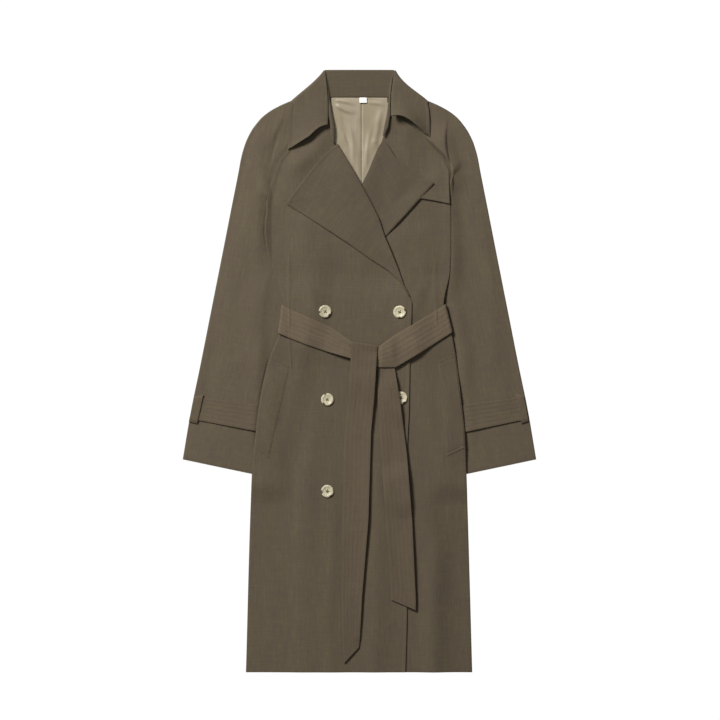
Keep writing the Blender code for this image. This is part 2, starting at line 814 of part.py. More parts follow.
def over_buttons(u, v):
    """Lift of a belt tail over the buttons that it hides."""
    lift = 0.0
    for button_u, button_v, covered in zip(BUTTONS["u"], BUTTONS["v"], BUTTONS["covered"]):
        distance = hypot(u - button_u, v - button_v)
        lift = max(lift, covered * (BUTTON_HEIGHT + GAP) * rise(distance, 62, 22))
    return lift


def left_level(u, v):
    return top_of_fronts(u, v) + ON_FRONTS


def right_level(u, v):
    return left_level(u, v) + (BELT_WALL + GAP) * rise(u, 150, 92)


def back_belt_level(u, v):
    return over_sleeve(u, v) + BELT_WALL / 2


def long_level(u, v):
    return left_level(u, v) + 2 * (BELT_WALL + GAP) * rise(v, 490, 568)


def short_level(u, v):
    return left_level(u, v) + over_buttons(u, v)


def heading(lines, row):
    """Unit direction of a belt's top edge at a row."""
    last = lines["row"][-1]
    ahead, behind = min(row + 0.05, last), max(row - 0.05, 0.0)
    step = [straight(lines, axis, ahead) - straight(lines, axis, behind) for axis in ("top_u", "top_v")]
    size = hypot(*step)
    return step[0] / size, step[1] / size


def make_belt(name, lines, level, parts, radius, start, end, up):
    """A stretch of belt; a turned end goes round the side of the coat or over the half knot."""
    last = lines["row"][-1]
    columns = last * parts + TURN_STEPS * (start + end)
    rows = 3

    def place(i, j):
        share, inset, drop = edge_turn(i, columns, radius, start, end)
        row = share * last
        top = straight(lines, "top_u", row), straight(lines, "top_v", row)
        low = straight(lines, "low_u", row), straight(lines, "low_v", row)
        along = heading(lines, row)
        by_start = start * max(1 - row, 0.0)
        by_end = end * max(1 - (last - row), 0.0)
        shift = (inset + BELT_WALL / 2) * by_start + (inset - BELT_WALL / 2) * by_end
        across = j / rows
        u = low[0] + (top[0] - low[0]) * across + along[0] * shift
        v = low[1] + (top[1] - low[1]) * across + along[1] * shift
        return u, v, level(u, v) + (drop if up else -drop)

    return sheet(name, cloth_finish, columns, rows, place, BELT_WALL)


# --- buttons ----------------------------------------------------------------------------
HOLE_RADIUS = 1.1
HOLE_SPREAD = 2.6        # from the middle of a button to each hole
BUTTON_STEPS = 16
BUTTON_PROFILE = table(  # the outer side from the top down, then in
    "radius  height",
    (0.0,    2.6),
    (6.4,    2.6),
    (8.6,    3.9),
    (10.6,   4.0),
    (12.0,   2.6),
    (11.0,   0.8),
    (8.0,    0.0),
    (0.0,    0.0),
)


def turned_button():
    """One button: a turned disc with a raised rim and four holes."""
    profile = bpy.data.meshes.new("button_profile")
    line = bmesh.new()
    last = None
    for radius, height in zip(*BUTTON_PROFILE.values()):
        point = line.verts.new((radius / 1000, 0, height / 1000))
        if last:
            line.edges.new((last, point))
        last = point
    line.to_mesh(profile)
    line.free()
    disc = bpy.data.objects.new("button_disc", profile)
    guides.objects.link(disc)
    screw = disc.modifiers.new("Turn", "SCREW")
    screw.steps = BUTTON_STEPS
    screw.render_steps = BUTTON_STEPS
    screw.use_merge_vertices = True
    screw.merge_threshold = 0.00001
    screw.use_smooth_shade = True
    for number in range(4):
        angle = (number + 0.5) * pi / 2
        spot = (HOLE_SPREAD * cos(angle) / 1000, HOLE_SPREAD * sin(angle) / 1000, BUTTON_HEIGHT / 2000)
        bpy.ops.mesh.primitive_cylinder_add(vertices=6, radius=HOLE_RADIUS / 1000,
                                            depth=3 * BUTTON_HEIGHT / 1000, location=spot)
        hole = bpy.context.object
        hole.name = "button_hole_%d" % number
        for owner in list(hole.users_collection):
            owner.objects.unlink(hole)
        guides.objects.link(hole)
        cut = disc.modifiers.new("Hole", "BOOLEAN")
        cut.operation = "DIFFERENCE"
        cut.object = hole
    for guide in guides.objects:
        guide.hide_render = True
        guide.display_type = "WIRE"
    bpy.context.view_layer.update()
    evaluated = disc.evaluated_get(bpy.context.evaluated_depsgraph_get())
    mesh = bpy.data.meshes.new_from_object(evaluated)
    mesh.name = "button"
    mesh.materials.clear()
    mesh.materials.append(button_finish)
    return mesh


def make_buttons():
    mesh = turned_button()
    for number, u, v in zip(BUTTONS["number"], BUTTONS["u"], BUTTONS["v"]):
        around = [(u + BUTTON_RADIUS * cos(k), v + BUTTON_RADIUS * sin(k)) for k in range(7)]
        rest = max(top_of_fronts(*spot) for spot in around + [(u, v)])
        button = bpy.data.objects.new("button_%d" % number, mesh)
        button.location = (u / 1000, (v - LENGTH / 2) / 1000, (rest + GAP) / 1000)
        coat.objects.link(button)


# --- the coat ---------------------------------------------------------------------------
for old in list(bpy.data.objects):
    bpy.data.objects.remove(old)
coat = bpy.data.collections.new("trench_coat")
guides = bpy.data.collections.new("cutters")
bpy.context.scene.collection.children.link(coat)
bpy.context.scene.collection.children.link(guides)

cloth_finish = material("coat_cloth", (0.127, 0.103, 0.070), 0.85)
lining_finish = material("satin_lining", (0.35, 0.29, 0.20), 0.4)
tab_finish = material("woven_tab", (0.85, 0.85, 0.83), 0.7)
button_finish = material("button_horn", (0.62, 0.54, 0.38), 0.3)

make_back()
make_front("front_under", "right", UNDER_EDGE, under_level, 12)
make_front("front_over", "left", OVER_EDGE, over_level, 12)
make_sleeve("left")
make_sleeve("right")
make_lapel("lapel_over", OVER_LAPEL, -1, over_level, 0)
make_lapel("lapel_under", UNDER_LAPEL, 1, under_level, 1)
make_storm_flap()
make_fall()
make_stand()
make_lining("left")
make_lining("right")
make_tab()
make_welt("left", over_level)
make_welt("right", under_level)
for coat_side in ("left", "right"):
    make_strap(coat_side)
    make_loop(coat_side)
make_belt("belt_left", BELT_LEFT, left_level, 3, BELT_TURN, True, False, False)
make_belt("belt_right", BELT_RIGHT, right_level, 4, BELT_TURN, True, False, False)
make_belt("belt_back", BELT_BACK, back_belt_level, 3, BELT_TURN, True, True, True)
make_belt("belt_tail_long", TAIL_LONG, long_level, 3, TAIL_TURN, True, False, False)
make_belt("belt_tail_short", TAIL_SHORT, short_level, 4, TAIL_TURN, False, False, False)
make_buttons()
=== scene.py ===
from math import atan2, cos, dist, exp, hypot, pi, radians, sin

import bmesh
import bpy
from mathutils import Matrix, Vector, noise


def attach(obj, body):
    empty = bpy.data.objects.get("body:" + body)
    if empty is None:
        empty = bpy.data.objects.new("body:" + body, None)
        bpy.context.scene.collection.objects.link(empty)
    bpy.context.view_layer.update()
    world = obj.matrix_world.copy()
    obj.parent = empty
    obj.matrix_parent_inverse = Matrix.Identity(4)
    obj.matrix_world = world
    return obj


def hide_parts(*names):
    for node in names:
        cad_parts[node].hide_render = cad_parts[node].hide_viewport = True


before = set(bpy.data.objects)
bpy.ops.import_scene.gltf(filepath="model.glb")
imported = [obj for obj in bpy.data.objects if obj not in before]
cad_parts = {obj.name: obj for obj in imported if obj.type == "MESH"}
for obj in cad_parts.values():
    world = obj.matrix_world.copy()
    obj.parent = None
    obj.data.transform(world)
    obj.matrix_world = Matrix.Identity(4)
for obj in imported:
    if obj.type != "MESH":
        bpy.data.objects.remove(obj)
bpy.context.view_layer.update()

# --- the surface, the light and the camera -------------------------------------------
# The coat lies face up on a light table, which takes no shadows. A soft lamp stands beyond
# the collar, to the left, a much weaker one hangs overhead; the camera looks straight down.
VIEW_WIDTH = 1.368
VIEW_MIDDLE = Vector((0.001, 0.0209, 0.0))
CAMERA_HEIGHT = 6.0
SENSOR = 36.0
TABLE_DROP = 0.0004
TABLE_SIZE = 30.0
SKY = 0.17
TABLE_GLOW = 1.0


def fill(node, inputs):
    """Set a node's inputs, each to a value or to what another node gives."""
    for name, value in inputs.items():
        if isinstance(value, bpy.types.NodeSocket):
            node.id_data.links.new(value, node.inputs[name])
        else:
            node.inputs[name].default_value = value


def new_finish(name):
    """A material, with its node tree and its shader."""
    finish = bpy.data.materials.new(name)
    finish.use_nodes = True
    return finish, finish.node_tree, finish.node_tree.nodes["Principled BSDF"]


def put(name, data):
    """Bring a mesh, a lamp or a camera into the scene."""
    item = bpy.data.objects.new(name, data)
    bpy.context.scene.collection.objects.link(item)
    return item


def put_form(name, form):
    """Bring a finished form into the scene as a mesh."""
    mesh = bpy.data.meshes.new(name)
    form.to_mesh(mesh)
    form.free()
    return put(name, mesh)


bpy.context.scene.view_settings.view_transform = "Standard"
world = bpy.data.worlds.new("soft_room")
bpy.context.scene.world = world
world.use_nodes = True
fill(world.node_tree.nodes["Background"], {"Color": (1.0, 0.99, 0.97, 1.0), "Strength": SKY})

table_form = bmesh.new()
bmesh.ops.create_grid(table_form, x_segments=2, y_segments=2, size=TABLE_SIZE / 2)
bmesh.ops.translate(table_form, verts=table_form.verts, vec=(0, 0, -TABLE_DROP))
table_top = put_form("table", table_form)
table_finish, _, table_shader = new_finish("white_table")
fill(table_shader, {
    "Base Color": (0.02, 0.02, 0.02, 1.0), "Roughness": 0.9, "Specular IOR Level": 0.0,
    "Emission Color": (1.0, 1.0, 1.0, 1.0), "Emission Strength": TABLE_GLOW,
})
table_top.data.materials.append(table_finish)


def lamp(name, place, size, power, colour):
    """A square soft box that faces the middle of the coat."""
    light = bpy.data.lights.new(name, "AREA")
    light.size = size
    light.energy = power
    light.color = colour
    box = put(name, light)
    box.location = place
    box.rotation_euler = (-Vector(place)).to_track_quat("-Z", "Y").to_euler()


lamp("window", (-2.9, 3.4, 4.0), 1.5, 525, (1.0, 0.985, 0.96))
lamp("overhead", (0.0, 0.4, 3.6), 2.4, 11, (1.0, 1.0, 1.0))

lens = bpy.data.cameras.new("camera")
lens.sensor_width = SENSOR
lens.lens = SENSOR * CAMERA_HEIGHT / VIEW_WIDTH
lens.clip_end = 50
camera = put("camera", lens)
camera.location = VIEW_MIDDLE + Vector((0, 0, CAMERA_HEIGHT))
bpy.context.scene.camera = camera


# --- back ------------------------------------------------------------------------------
# One panel of fine wool cloth from hem to neck. Its sides turn up to meet the fronts;
# it lies on the table, on the inner edges of the sleeves and on the belt behind it.
LENGTH = 1144.0
WALL = 1.5
COLLAR_WALL = 1.8
BELT_WALL = 2.4
STRAP_WALL = 1.8
GAP = 0.3
INSIDE = 1.9
SLACK = 0.5
LAYER = WALL + GAP + SLACK
BACK_LEVEL = WALL / 2
FRONT_LEVEL = BACK_LEVEL + WALL + INSIDE
EDGE_TURN = (FRONT_LEVEL - BACK_LEVEL - GAP - 0.4 * WALL) / 2
SLEEVE_HEIGHT = FRONT_LEVEL + WALL / 2 + GAP + SLACK
TURN_STEPS = 5
BACK_TOP = 1091.0
CUFF_RISE = (316, 362)               # heights where the back climbs on the sleeves' cuffs,
STRAP_BAND = (385, 440, 525, 585)    # on the ends of their straps,
BELT_BAND = (575, 632, 706, 765)     # on the belt behind it
COLLAR_RISE = (1012, 1056)           # and on the folded collar;
STRAP_SPREAD = (140, 174)            # the same across the coat, from the middle, for the straps
COLLAR_SPREAD = (178, 140)           # and the collar,
SLEEVE_SLOPE = (62, 14)              # and for the sleeves, inwards from their inner folds
FOLD_FADE = (0.0, 0.3, 0.7, 1.0)     # how a fold swells in and fades out along its length,
HEM_FADE = (0.0, 0.35, 1.05, 1.4)    # and how one does that runs off the hem


def table(columns, *rows):
    """Columns of numbers by name, from their rows."""
    return {name: [row[i] for row in rows] for i, name in enumerate(columns.split())}


def secant(keys, values, i):
    return (values[i + 1] - values[i]) / (keys[i + 1] - keys[i])


def slope(keys, values, i):
    """Slope at a row: even, and flat at a turning point."""
    if i == 0:
        return secant(keys, values, 0)
    if i == len(keys) - 1:
        return secant(keys, values, i - 1)
    before, after = secant(keys, values, i - 1), secant(keys, values, i)
    return 0.0 if before * after <= 0 else 2 * before * after / (before + after)


def read(source, column, at):
    """Smooth value of a column, at a place in the table's first column."""
    keys = next(iter(source.values()))
    values = source[column]
    at = min(max(at, keys[0]), keys[-1])
    i = max(k for k in range(len(keys) - 1) if keys[k] <= at)
    width = keys[i + 1] - keys[i]
    x = (at - keys[i]) / width
    start, end = slope(keys, values, i) * width, slope(keys, values, i + 1) * width
    return (values[i] * (1 + 2 * x) * (1 - x) ** 2 + start * x * (1 - x) ** 2
            + values[i + 1] * x * x * (3 - 2 * x) + end * x * x * (x - 1))


def rise(value, start, end):
    """0 at start, 1 at end, soft between; start may be the larger."""
    x = min(max((value - start) / (end - start), 0.0), 1.0)
    return x * x * (3 - 2 * x)


def window(value, start, full, until, end):
    """0 at start, 1 from full until the third value, and 0 again at end."""
    return rise(value, start, full) * (1 - rise(value, until, end))


def bell(distance, width):
    """1 on the middle of a soft ridge, and close to 0 two widths away."""
    return exp(-(distance / width) ** 2)


def clamp(share):
    return min(max(share, 0.0), 1.0)


def mid(start, end, share):
    """Value at a share of the way from one to another."""
    return start + (end - start) * share


SIDES = table(
    "height left right",
    (0, -215, 213.5), (376, -203.5, 202.5), (456, -196, 199), (505, -190, 194),
    (585, -173.5, 184.5), (644, -151.5, 174), (700, -143.5, 159.6), (714, -145.5, 161.5),
    (762, -163, 171.5), (802, -174, 173), (836, -179, 173), (888, -174, 172.5),
    (935, -165.5, 170.5),
)
BACK_RAGLAN = table(
    "height left right",
    (888, -174, 172.5), (923, -167, 171.5), (950, -159, 170), (975, -148, 155),
    (1000, -132, 135), (1030, -108, 108), (1055, -88, 88), (1091, -58, 58),
)
SLEEVE_INNER = table(     # a sleeve's inner fold, under the body
    "height left right",
    (371, 178, 178), (545, 140, 140), (704, 106, 106), (790, 102, 100), (815, 106, 104),
    (845, 128, 110), (857, 148, 114), (870, 162, 119), (881, 165.5, 126), (900, 167.5, 146),
    (915, 167.8, 159), (928, 166.6, 167.5), (940, 163.6, 171.3),
)
ARMPIT = {"left": 905.0, "right": 952.0}
HAND = {"left": -1, "right": 1}
LIP = {                   # where a side starts to rise, how steeply, and between which heights
    "left": (166.7, 0.40, (750, 780, 908, 936)),
    "right": (150, 0.12, (690, 740, 915, 945)),
}


def side_of(u):
    return "left" if u < 0 else "right"


def side_edge(raglan, side, v):
    """Edge of a panel: its side up to the armpit, then its raglan seam."""
    return read(SIDES if v < SIDES["height"][-2] else raglan, side, v)


def past_armpit(side, v, start, end):
    """0 below and 1 above, soft between two heights that are measured from the armpit."""
    return rise(v, ARMPIT[side] + start, ARMPIT[side] + end)


def side_fold(side, v):
    """1 where a panel's side is a fold, 0 above the armpit, where it is a raglan seam."""
    return 1 - past_armpit(side, v, -22, 2)


def over_sleeve(u, v):
    """Lift of whatever lies on the hidden strip of a sleeve."""
    side = side_of(u)
    inner = read(SLEEVE_INNER, side, v - 12)
    across = rise(abs(u), inner - SLEEVE_SLOPE[0], inner - SLEEVE_SLOPE[1])
    along = rise(v, *CUFF_RISE) * (1 - past_armpit(side, v, -25, 45))
    return SLEEVE_HEIGHT * across * along


def over_collar(u, v):
    """Lift over the part of the collar that is folded under the back of the neck."""
    return (COLLAR_WALL + GAP) * rise(v, *COLLAR_RISE) * rise(abs(u), *COLLAR_SPREAD)


FOLD_COLUMNS = "top_u top_v foot_u foot_v inner outer height"
BACK_FOLDS = table(       # soft creases where the back doesn't quite touch the table
    FOLD_COLUMNS,
    (-96, 560, -120, -20, 24, 24, 2.2),
    (36, 560, 30, -20, 20, 20, 1.9),
    (128, 420, 146, -20, 18, 18, 1.6),
    (-30, 300, -42, -20, 15, 15, 1.3),
    (70, 980, 52, 760, 18, 18, 1.4),
    (-76, 970, -60, 750, 16, 16, 1.5),
    (-110, 760, -66, 650, 11, 11, 1.2),
    (126, 750, 88, 650, 12, 12, 1.2),
)


def folds_at(folds, u, v):
    """Height of soft folds, which wander a little; inner is the width towards the middle."""
    total = 0.0
    for top_u, top_v, foot_u, foot_v, inner, outer, height in zip(*folds.values()):
        along = (top_v - v) / (top_v - foot_v)
        if -0.02 < along < 1.4:
            wander = 0.1 * (inner + outer) * sin(7.0 * along + top_u * 0.13)
            middle = mid(top_u, foot_u, along) + wander
            away = u - middle if middle > 0 else middle - u
            width = outer if away > 0 else inner
            if abs(away) < 3 * width:
                fade = window(along, *(HEM_FADE if foot_v < 0 else FOLD_FADE))
                total += height * fade * bell(away, width)
    return total


def side_lip(u, v):
    """Rise of the sides where the sleeves push under them, the left from an upright crease."""
    side = side_of(u)
    start, steepness, band = LIP[side]
    beyond = max(abs(u) - start, 0.0)
    if side == "right":
        beyond = min(beyond * beyond / 20, max(beyond - 5, beyond / 2))
    return steepness * beyond * window(v, *band)


def ground(u, v):
    """Underside of the body of the coat."""
    strap = (STRAP_WALL + GAP + SLACK) * rise(abs(u), *STRAP_SPREAD)
    belt = (BELT_WALL + GAP + SLACK) * window(v, *BELT_BAND)
    over_cuffs = strap * window(v, *STRAP_BAND)
    soft = folds_at(BACK_FOLDS, u, v) + side_lip(u, v)
    return over_sleeve(u, v) + over_collar(u, v) + over_cuffs + belt + soft


def turned(step, radius, amount=1.0):
    """Inset and drop of the wall at a step of a quarter turn, 0 at the edge itself."""
    angle = (1 - step / TURN_STEPS) * pi / 2
    even = radius * step / TURN_STEPS
    inset = even + (radius * (1 - sin(angle)) - even) * amount
    return inset, radius * (1 - cos(angle)) * amount


def edge_turn(i, count, radius, start, end, amount=1.0):
    """Fraction between the two edges, inset from the nearer one and drop, at column i."""
    first = TURN_STEPS if start else 0
    last = count - (TURN_STEPS if end else 0)
    share = clamp((i - first) / (last - first))
    if i < first:
        return share, *turned(i, radius, amount)
    if i > last:
        inset, drop = turned(count - i, radius, amount)
        return share, -inset, drop
    return share, radius * ((1 - share) * bool(start) - share * bool(end)), 0.0


def world_place(u, v, z):
    """Coat millimetres to the frame's metres."""
    return u / 1000, (v - LENGTH / 2) / 1000, z / 1000


def tilted(angle):
    """Lay of the yarns on a piece whose grain leans by an angle, in degrees."""
    turn, lean = cos(radians(angle)), sin(radians(angle))
    return lambda i, j, u, v: ((u * turn + v * lean) / 1000, (v * turn - u * lean) / 1000)


def add_piece(name, form, finish):
    """Make a finished form a piece of the coat."""
    piece = put_form(name, form)
    piece.data.shade_smooth()
    piece.data.materials.append(finish)
    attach(piece, "root")
    return piece


def lay(name, finish, columns, rows, place, wall, grain=None, rounded=0.35):
    """One piece of cloth. place(i, j) is the middle of its wall, grain its place on the yarns."""
    grain = grain or tilted(0)
    cloth = bmesh.new()
    bmesh.ops.create_grid(cloth, x_segments=columns, y_segments=rows, size=0.5)
    yarns = cloth.loops.layers.uv.new("yarns")
    on_yarns = {}
    for vert in cloth.verts:
        i, j = round((vert.co.x + 0.5) * columns), round((vert.co.y + 0.5) * rows)
        u, v, z = place(i, j)
        on_yarns[vert] = grain(i, j, u, v)
        vert.co = world_place(u, v, z)
    for face in cloth.faces:
        for corner in face.loops:
            corner[yarns].uv = on_yarns[corner.vert]
    piece = add_piece(name, cloth, finish)
    thick = piece.modifiers.new("Wall", "SOLIDIFY")
    thick.thickness = wall / 1000
    thick.offset = 0.0
    soft = piece.modifiers.new("Rounded edge", "BEVEL")
    soft.width = wall * rounded / 1000
    soft.segments = 2
    soft.limit_method = "ANGLE"
    soft.angle_limit = radians(50)
    return piece


def add_node(tree, kind, inputs, **settings):
    """A shader node, with its settings and its inputs by name or number."""
    node = tree.nodes.new("ShaderNode" + kind)
    for setting, value in settings.items():
        setattr(node, setting, value)
    fill(node, inputs)
    return node


def colour_ramp(tree, source, *stops):
    """Colours by value: stops are (place, colour)."""
    node = add_node(tree, "ValToRGB", {"Fac": source})
    ramp = node.color_ramp
    ramp.interpolation = "EASE"
    while len(ramp.elements) < len(stops):
        ramp.elements.new(0.5)
    for element, (place, colour) in zip(ramp.elements, stops):
        element.position = place
        element.color = (*colour, 1.0)
    return node.outputs["Color"]


def stretched_noise(tree, source, across, along, detail=2.0):
    """Noise with so many lumps a metre each way."""
    spread = add_node(tree, "Mapping", {"Vector": source, "Scale": (across, along, 1.0)})
    lumps = {"Vector": spread.outputs["Vector"], "Scale": 1.0, "Detail": detail}
    return add_node(tree, "TexNoise", lumps).outputs["Fac"]


def combine(tree, operation, first, second):
    """Sum or product of two values, either of which may be a number."""
    return add_node(tree, "Math", {0: first, 1: second}, operation=operation).outputs["Value"]


def weighed(tree, *parts):
    """Sum of sources, each times its weight."""
    total = 0.0
    for source, weight in parts:
        total = combine(tree, "ADD", total, combine(tree, "MULTIPLY", source, weight))
    return total


def between(tree, source, low, high):
    """A source from 0 to 1, spread from low to high."""
    inputs = {"Value": source, "To Min": low, "To Max": high}
    return add_node(tree, "MapRange", inputs).outputs["Result"]


def relief(tree, height, depth):
    """Fine relief of a surface, so many metres deep."""
    inputs = {"Height": height, "Strength": 0.25, "Distance": depth}
    return add_node(tree, "Bump", inputs).outputs["Normal"]


def yarn_places(tree):
    """Place of each point on the yarns of its cloth."""
    return add_node(tree, "UVMap", {}, uv_map="yarns").outputs["UV"]


OLIVE = (0.0896, 0.0722, 0.0438)
MAUVE = (0.0826, 0.0632, 0.0430)
YARN_COUNT = 1150         # yarns to a metre, warp and weft
YARN_TONES = ((0.36, MAUVE, 0.80), (0.47, MAUVE, 1.0), (0.55, OLIVE, 1.0), (0.66, OLIVE, 1.19))
YARN_LUMPS = (            # lumps a metre across and along the warp, and weight
    (560.0, 18.0, 0.28),
    (22.0, 520.0, 0.24),
    (220.0, 70.0, 0.22),
    (70.0, 16.0, 0.15),
    (12.0, 4.0, 0.11),
)


def wool_cloth(name, painted_brightness, warmth=1.0):
    """Fine wool: olive and mauve-brown yarns of uneven thickness, matt with a soft nap. Each
    piece's painted_brightness scales the colour: above 1 it is painted light, below 1 it is
    painted shade.
    """
    finish, tree, shader = new_finish(name)
    yarns = yarn_places(tree)
    mixed = weighed(tree, *((stretched_noise(tree, yarns, across, along, 3.0), weight)
                            for across, along, weight in YARN_LUMPS))
    stops = []
    for at, (red, green, blue), tone in YARN_TONES:
        tone *= painted_brightness
        stops.append((at, (red * tone * warmth, green * tone, blue * tone)))
    wave = {"Vector": yarns, "Scale": YARN_COUNT / 20 * 2 * pi, "Distortion": 0.6}
    warp, weft = (add_node(tree, "TexWave", wave, wave_type="BANDS", bands_direction=way)
                  for way in "XY")
    over_under = combine(tree, "MULTIPLY", warp.outputs["Fac"], weft.outputs["Fac"])
    fill(shader, {
        "Base Color": colour_ramp(tree, mixed, *stops),
        "Normal": relief(tree, weighed(tree, (over_under, 0.5), (mixed, 2.4)), 0.00015),
        "Roughness": between(tree, mixed, 0.74, 0.92),
        "Specular IOR Level": 0.25,
        "Sheen Weight": 0.12,
        "Sheen Roughness": 0.45,
        "Sheen Tint": (0.80, 0.74, 0.62, 1.0),
    })
    return finish


body_cloth = wool_cloth("body_cloth", 1.0)


def make_back():
    columns, rows = 84, 200

    def place(i, j):
        v = BACK_TOP * j / rows
        left, right = (side_edge(BACK_RAGLAN, side, v) for side in HAND)
        amount = side_fold("left" if i < columns / 2 else "right", v)
        share, inset, drop = edge_turn(i, columns, EDGE_TURN, True, True, amount)
        u = mid(left, right, share) + inset
        return u, v, ground(u, v) + BACK_LEVEL + drop

    return lay("back_panel", body_cloth, columns, rows, place, WALL)


back_panel = make_back()
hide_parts("back")


# --- sleeves ---------------------------------------------------------------------------
# Each raglan sleeve is one piece, folded along the shoulder and the outer arm and closed
# by an underarm seam. The front layer falls in long soft troughs beside the body.
FRONT_RAGLAN = table(
    "height left right",
    (888, -174, 172.5), (923, -167, 171.5), (950, -159, 170), (971, -151, 160),
    (990, -136, 142), (1010, -118, 122), (1032, -98, 100), (1062, -64, 64),
)
SILHOUETTE = table(       # outer fold of a sleeve, then the shoulder
    "height outer",
    (404, 335), (498, 319), (578, 302.5), (684, 281.5), (790, 260.5), (897, 239.5),
    (950, 229), (977, 224), (1003, 216.5), (1018, 210), (1030.4, 203), (1042, 194.5),
    (1050.8, 187), (1058.4, 178.5), (1066.4, 167), (1074.5, 152), (1080.2, 139.5),
    (1084, 130.5), (1087.6, 121.5), (1091.3, 112), (1097, 98), (1103.5, 82), (1108, 67),
)
SLEEVE_ROWS = table(      # heights of a row's ends: outer fold, front seam, back seam
    "row outer front back",
    (0, 404, 371, 371),
    (4, 578, 545, 545),
    (8, 737, 704, 704),
    (11, 844, 805, 805),
    (13, 905, 862, 862),
    (15, 950, 905, 905),
    (17, 990, 944, 944),
    (19, 1022, 968, 972),
    (21, 1049, 993, 1004),
    (23, 1072, 1018, 1036),
    (25, 1090, 1038, 1062),
    (27, 1107, 1061, 1088),
)
SLEEVE_FOLDS = table(     # soft ridges and troughs; the foot is the lower end
    FOLD_COLUMNS,
    (-188, 1000, -190, 745, 12, 34, 2.4),
    (-188, 1056, -190, 905, 15, 24, 2.2),
    (-180, 780, -196, 520, 13, 26, 2.6),
    (-236, 860, -262, 560, 20, 20, 0.8),
    (-186, 660, -206, 400, 13, 13, 1.6),
    (-278, 640, -296, 440, 14, 14, -1),
    (-146, 1066, -176, 985, 6, 12, 1.3),
    (-152, 1034, -170, 962, 2.5, 3.5, -0.9),
    (169, 985, 170, 690, 30, 18, 8),
    (163, 1056, 173, 900, 40, 2, 4.6),
    (163, 1050, 175, 900, 40, 18, 4.6),
    (176, 760, 196, 500, 14, 18, 3.4),
    (232, 900, 262, 540, 18, 18, 1.2),
    (200, 660, 214, 400, 12, 12, 1.6),
    (284, 650, 300, 430, 14, 14, -0.9),
)
SLEEVE_BACK_FOLDS = table(
    FOLD_COLUMNS,
    (-206, 980, -240, 600, 14, 14, 1.1),
    (-250, 700, -282, 420, 13, 13, 0.9),
    (200, 980, 236, 560, 15, 15, 1.1),
    (246, 720, 288, 420, 12, 12, 0.9),
)
SLEEVE_CROWN = 1.7
SEAM_EASE = 0.75
BESIDE = {"left": (0.5, 5.0), "right": (0.4, 1.8)}      # where a sleeve has risen beside the body
LAP = 2.6                 # the front's edge laps over the sleeve's along the raglan seam
LAP_RISE = 1.3
LAP_TUCK = 0.7
SEAM_STITCH = 6.8
SEAM_DRAW = 0.35          # how deep the stitches draw the raglan seam in
RAGLAN_ROW = {"left": 104, "right": 124}


def lapped(side, v):
    """1 along the raglan seam, 0 below the armpit."""
    return past_armpit(side, v, -34, -6)


def uneven(u, v, size, amount):
    """A hand's worth of unevenness, so that no wall is a plain plane."""
    return amount * noise.noise(Vector((u / size, v / size, 3.7)))


def sleeve_seam(raglan, side, v):
    """Distance from the middle to the sleeve's front or back seam, or to its inner fold."""
    if v >= SLEEVE_INNER["height"][-1]:
        return abs(read(raglan, side, v)) + SEAM_EASE
    return read(SLEEVE_INNER, side, v)


def front_outer(side, v):
    return side_edge(FRONT_RAGLAN, side, v)


thread_finish, thread_tree, thread_shader = new_finish("thread")
thread_spot = add_node(thread_tree, "TexCoord", {}).outputs["Object"]
fill(thread_shader, {
    "Base Color": colour_ramp(thread_tree, stretched_noise(thread_tree, thread_spot, 900.0, 900.0),
                              (0.35, (0.088, 0.070, 0.045)), (0.65, (0.128, 0.104, 0.068))),
    "Roughness": 0.62,
})
STITCH, STITCH_GAP, THREAD = 2.7, 0.9, 0.3       # length, space and thickness, half of it sunk
bead = bmesh.new()
bmesh.ops.create_uvsphere(bead, u_segments=5, v_segments=4, radius=1.0)
bead.verts.index_update()
BEAD_POINTS = [vert.co.copy() for vert in bead.verts]
BEAD_FACES = [[vert.index for vert in face.verts] for face in bead.faces]
bead.free()


def sew(name, place, runs, wall):
    """Rows of stitches on top of a piece: each run goes through its places (column, row)."""
    threads = bmesh.new()
    for run in runs:
        way = []
        for (i, j), (next_i, next_j) in zip(run, run[1:]):
            steps = 1 + int(2 * max(abs(next_i - i), abs(next_j - j)))
            way += [Vector(place(i + (next_i - i) * k / steps, j + (next_j - j) * k / steps))
                    for k in range(steps)]
        way.append(Vector(place(*run[-1])))
        lengths = [(b - a).length for a, b in zip(way, way[1:])]
        reach, k, passed = STITCH_GAP, 0, 0.0
        total = sum(lengths)
        while reach + STITCH < total:
            ends = []
            for mark in (reach, reach + STITCH):
                while k < len(lengths) - 1 and passed + lengths[k] < mark:
                    passed += lengths[k]
                    k += 1
                share = min((mark - passed) / max(lengths[k], 0.001), 1.0)
                u, v, z = way[k].lerp(way[k + 1], share)
                ends.append(Vector(world_place(u, v, z + wall / 2 + THREAD * 0.3)))
            start, end = ends
            lying = (end - start).to_track_quat("Z", "Y").to_matrix().to_4x4()
            size = Matrix.Diagonal((THREAD / 1000, THREAD / 1000, STITCH / 2000, 1.0))
            placed = Matrix.Translation((start + end) / 2) @ lying @ size
            points = [threads.verts.new(placed @ point) for point in BEAD_POINTS]
            for face in BEAD_FACES:
                threads.faces.new([points[k] for k in face])
            reach += STITCH + STITCH_GAP
    add_piece(name, threads, thread_finish)


def spaced(column, marks):
    """Place of a column between marks (column, place), straight between them."""
    for (first, start), (last, end) in zip(marks, marks[1:]):
        if column <= last:
            return start + (end - start) * (column - first) / (last - first)
    return marks[-1][1]


def sleeve_form(side, u, v, outer_u, to_fold):
    """Crown and soft folds of a sleeve's front layer, at a distance to its outer fold."""
    body_u = abs(front_outer(side, v))
    share = clamp((abs(u) - body_u - 2) / (outer_u - body_u - 4))
    free = rise(to_fold, 1, 18) * rise(abs(u) - body_u, *BESIDE[side])
    folds = folds_at(SLEEVE_FOLDS, u, v) + uneven(u, v, 42, 0.5)
    return SLEEVE_CROWN * sin(pi * share), folds * free


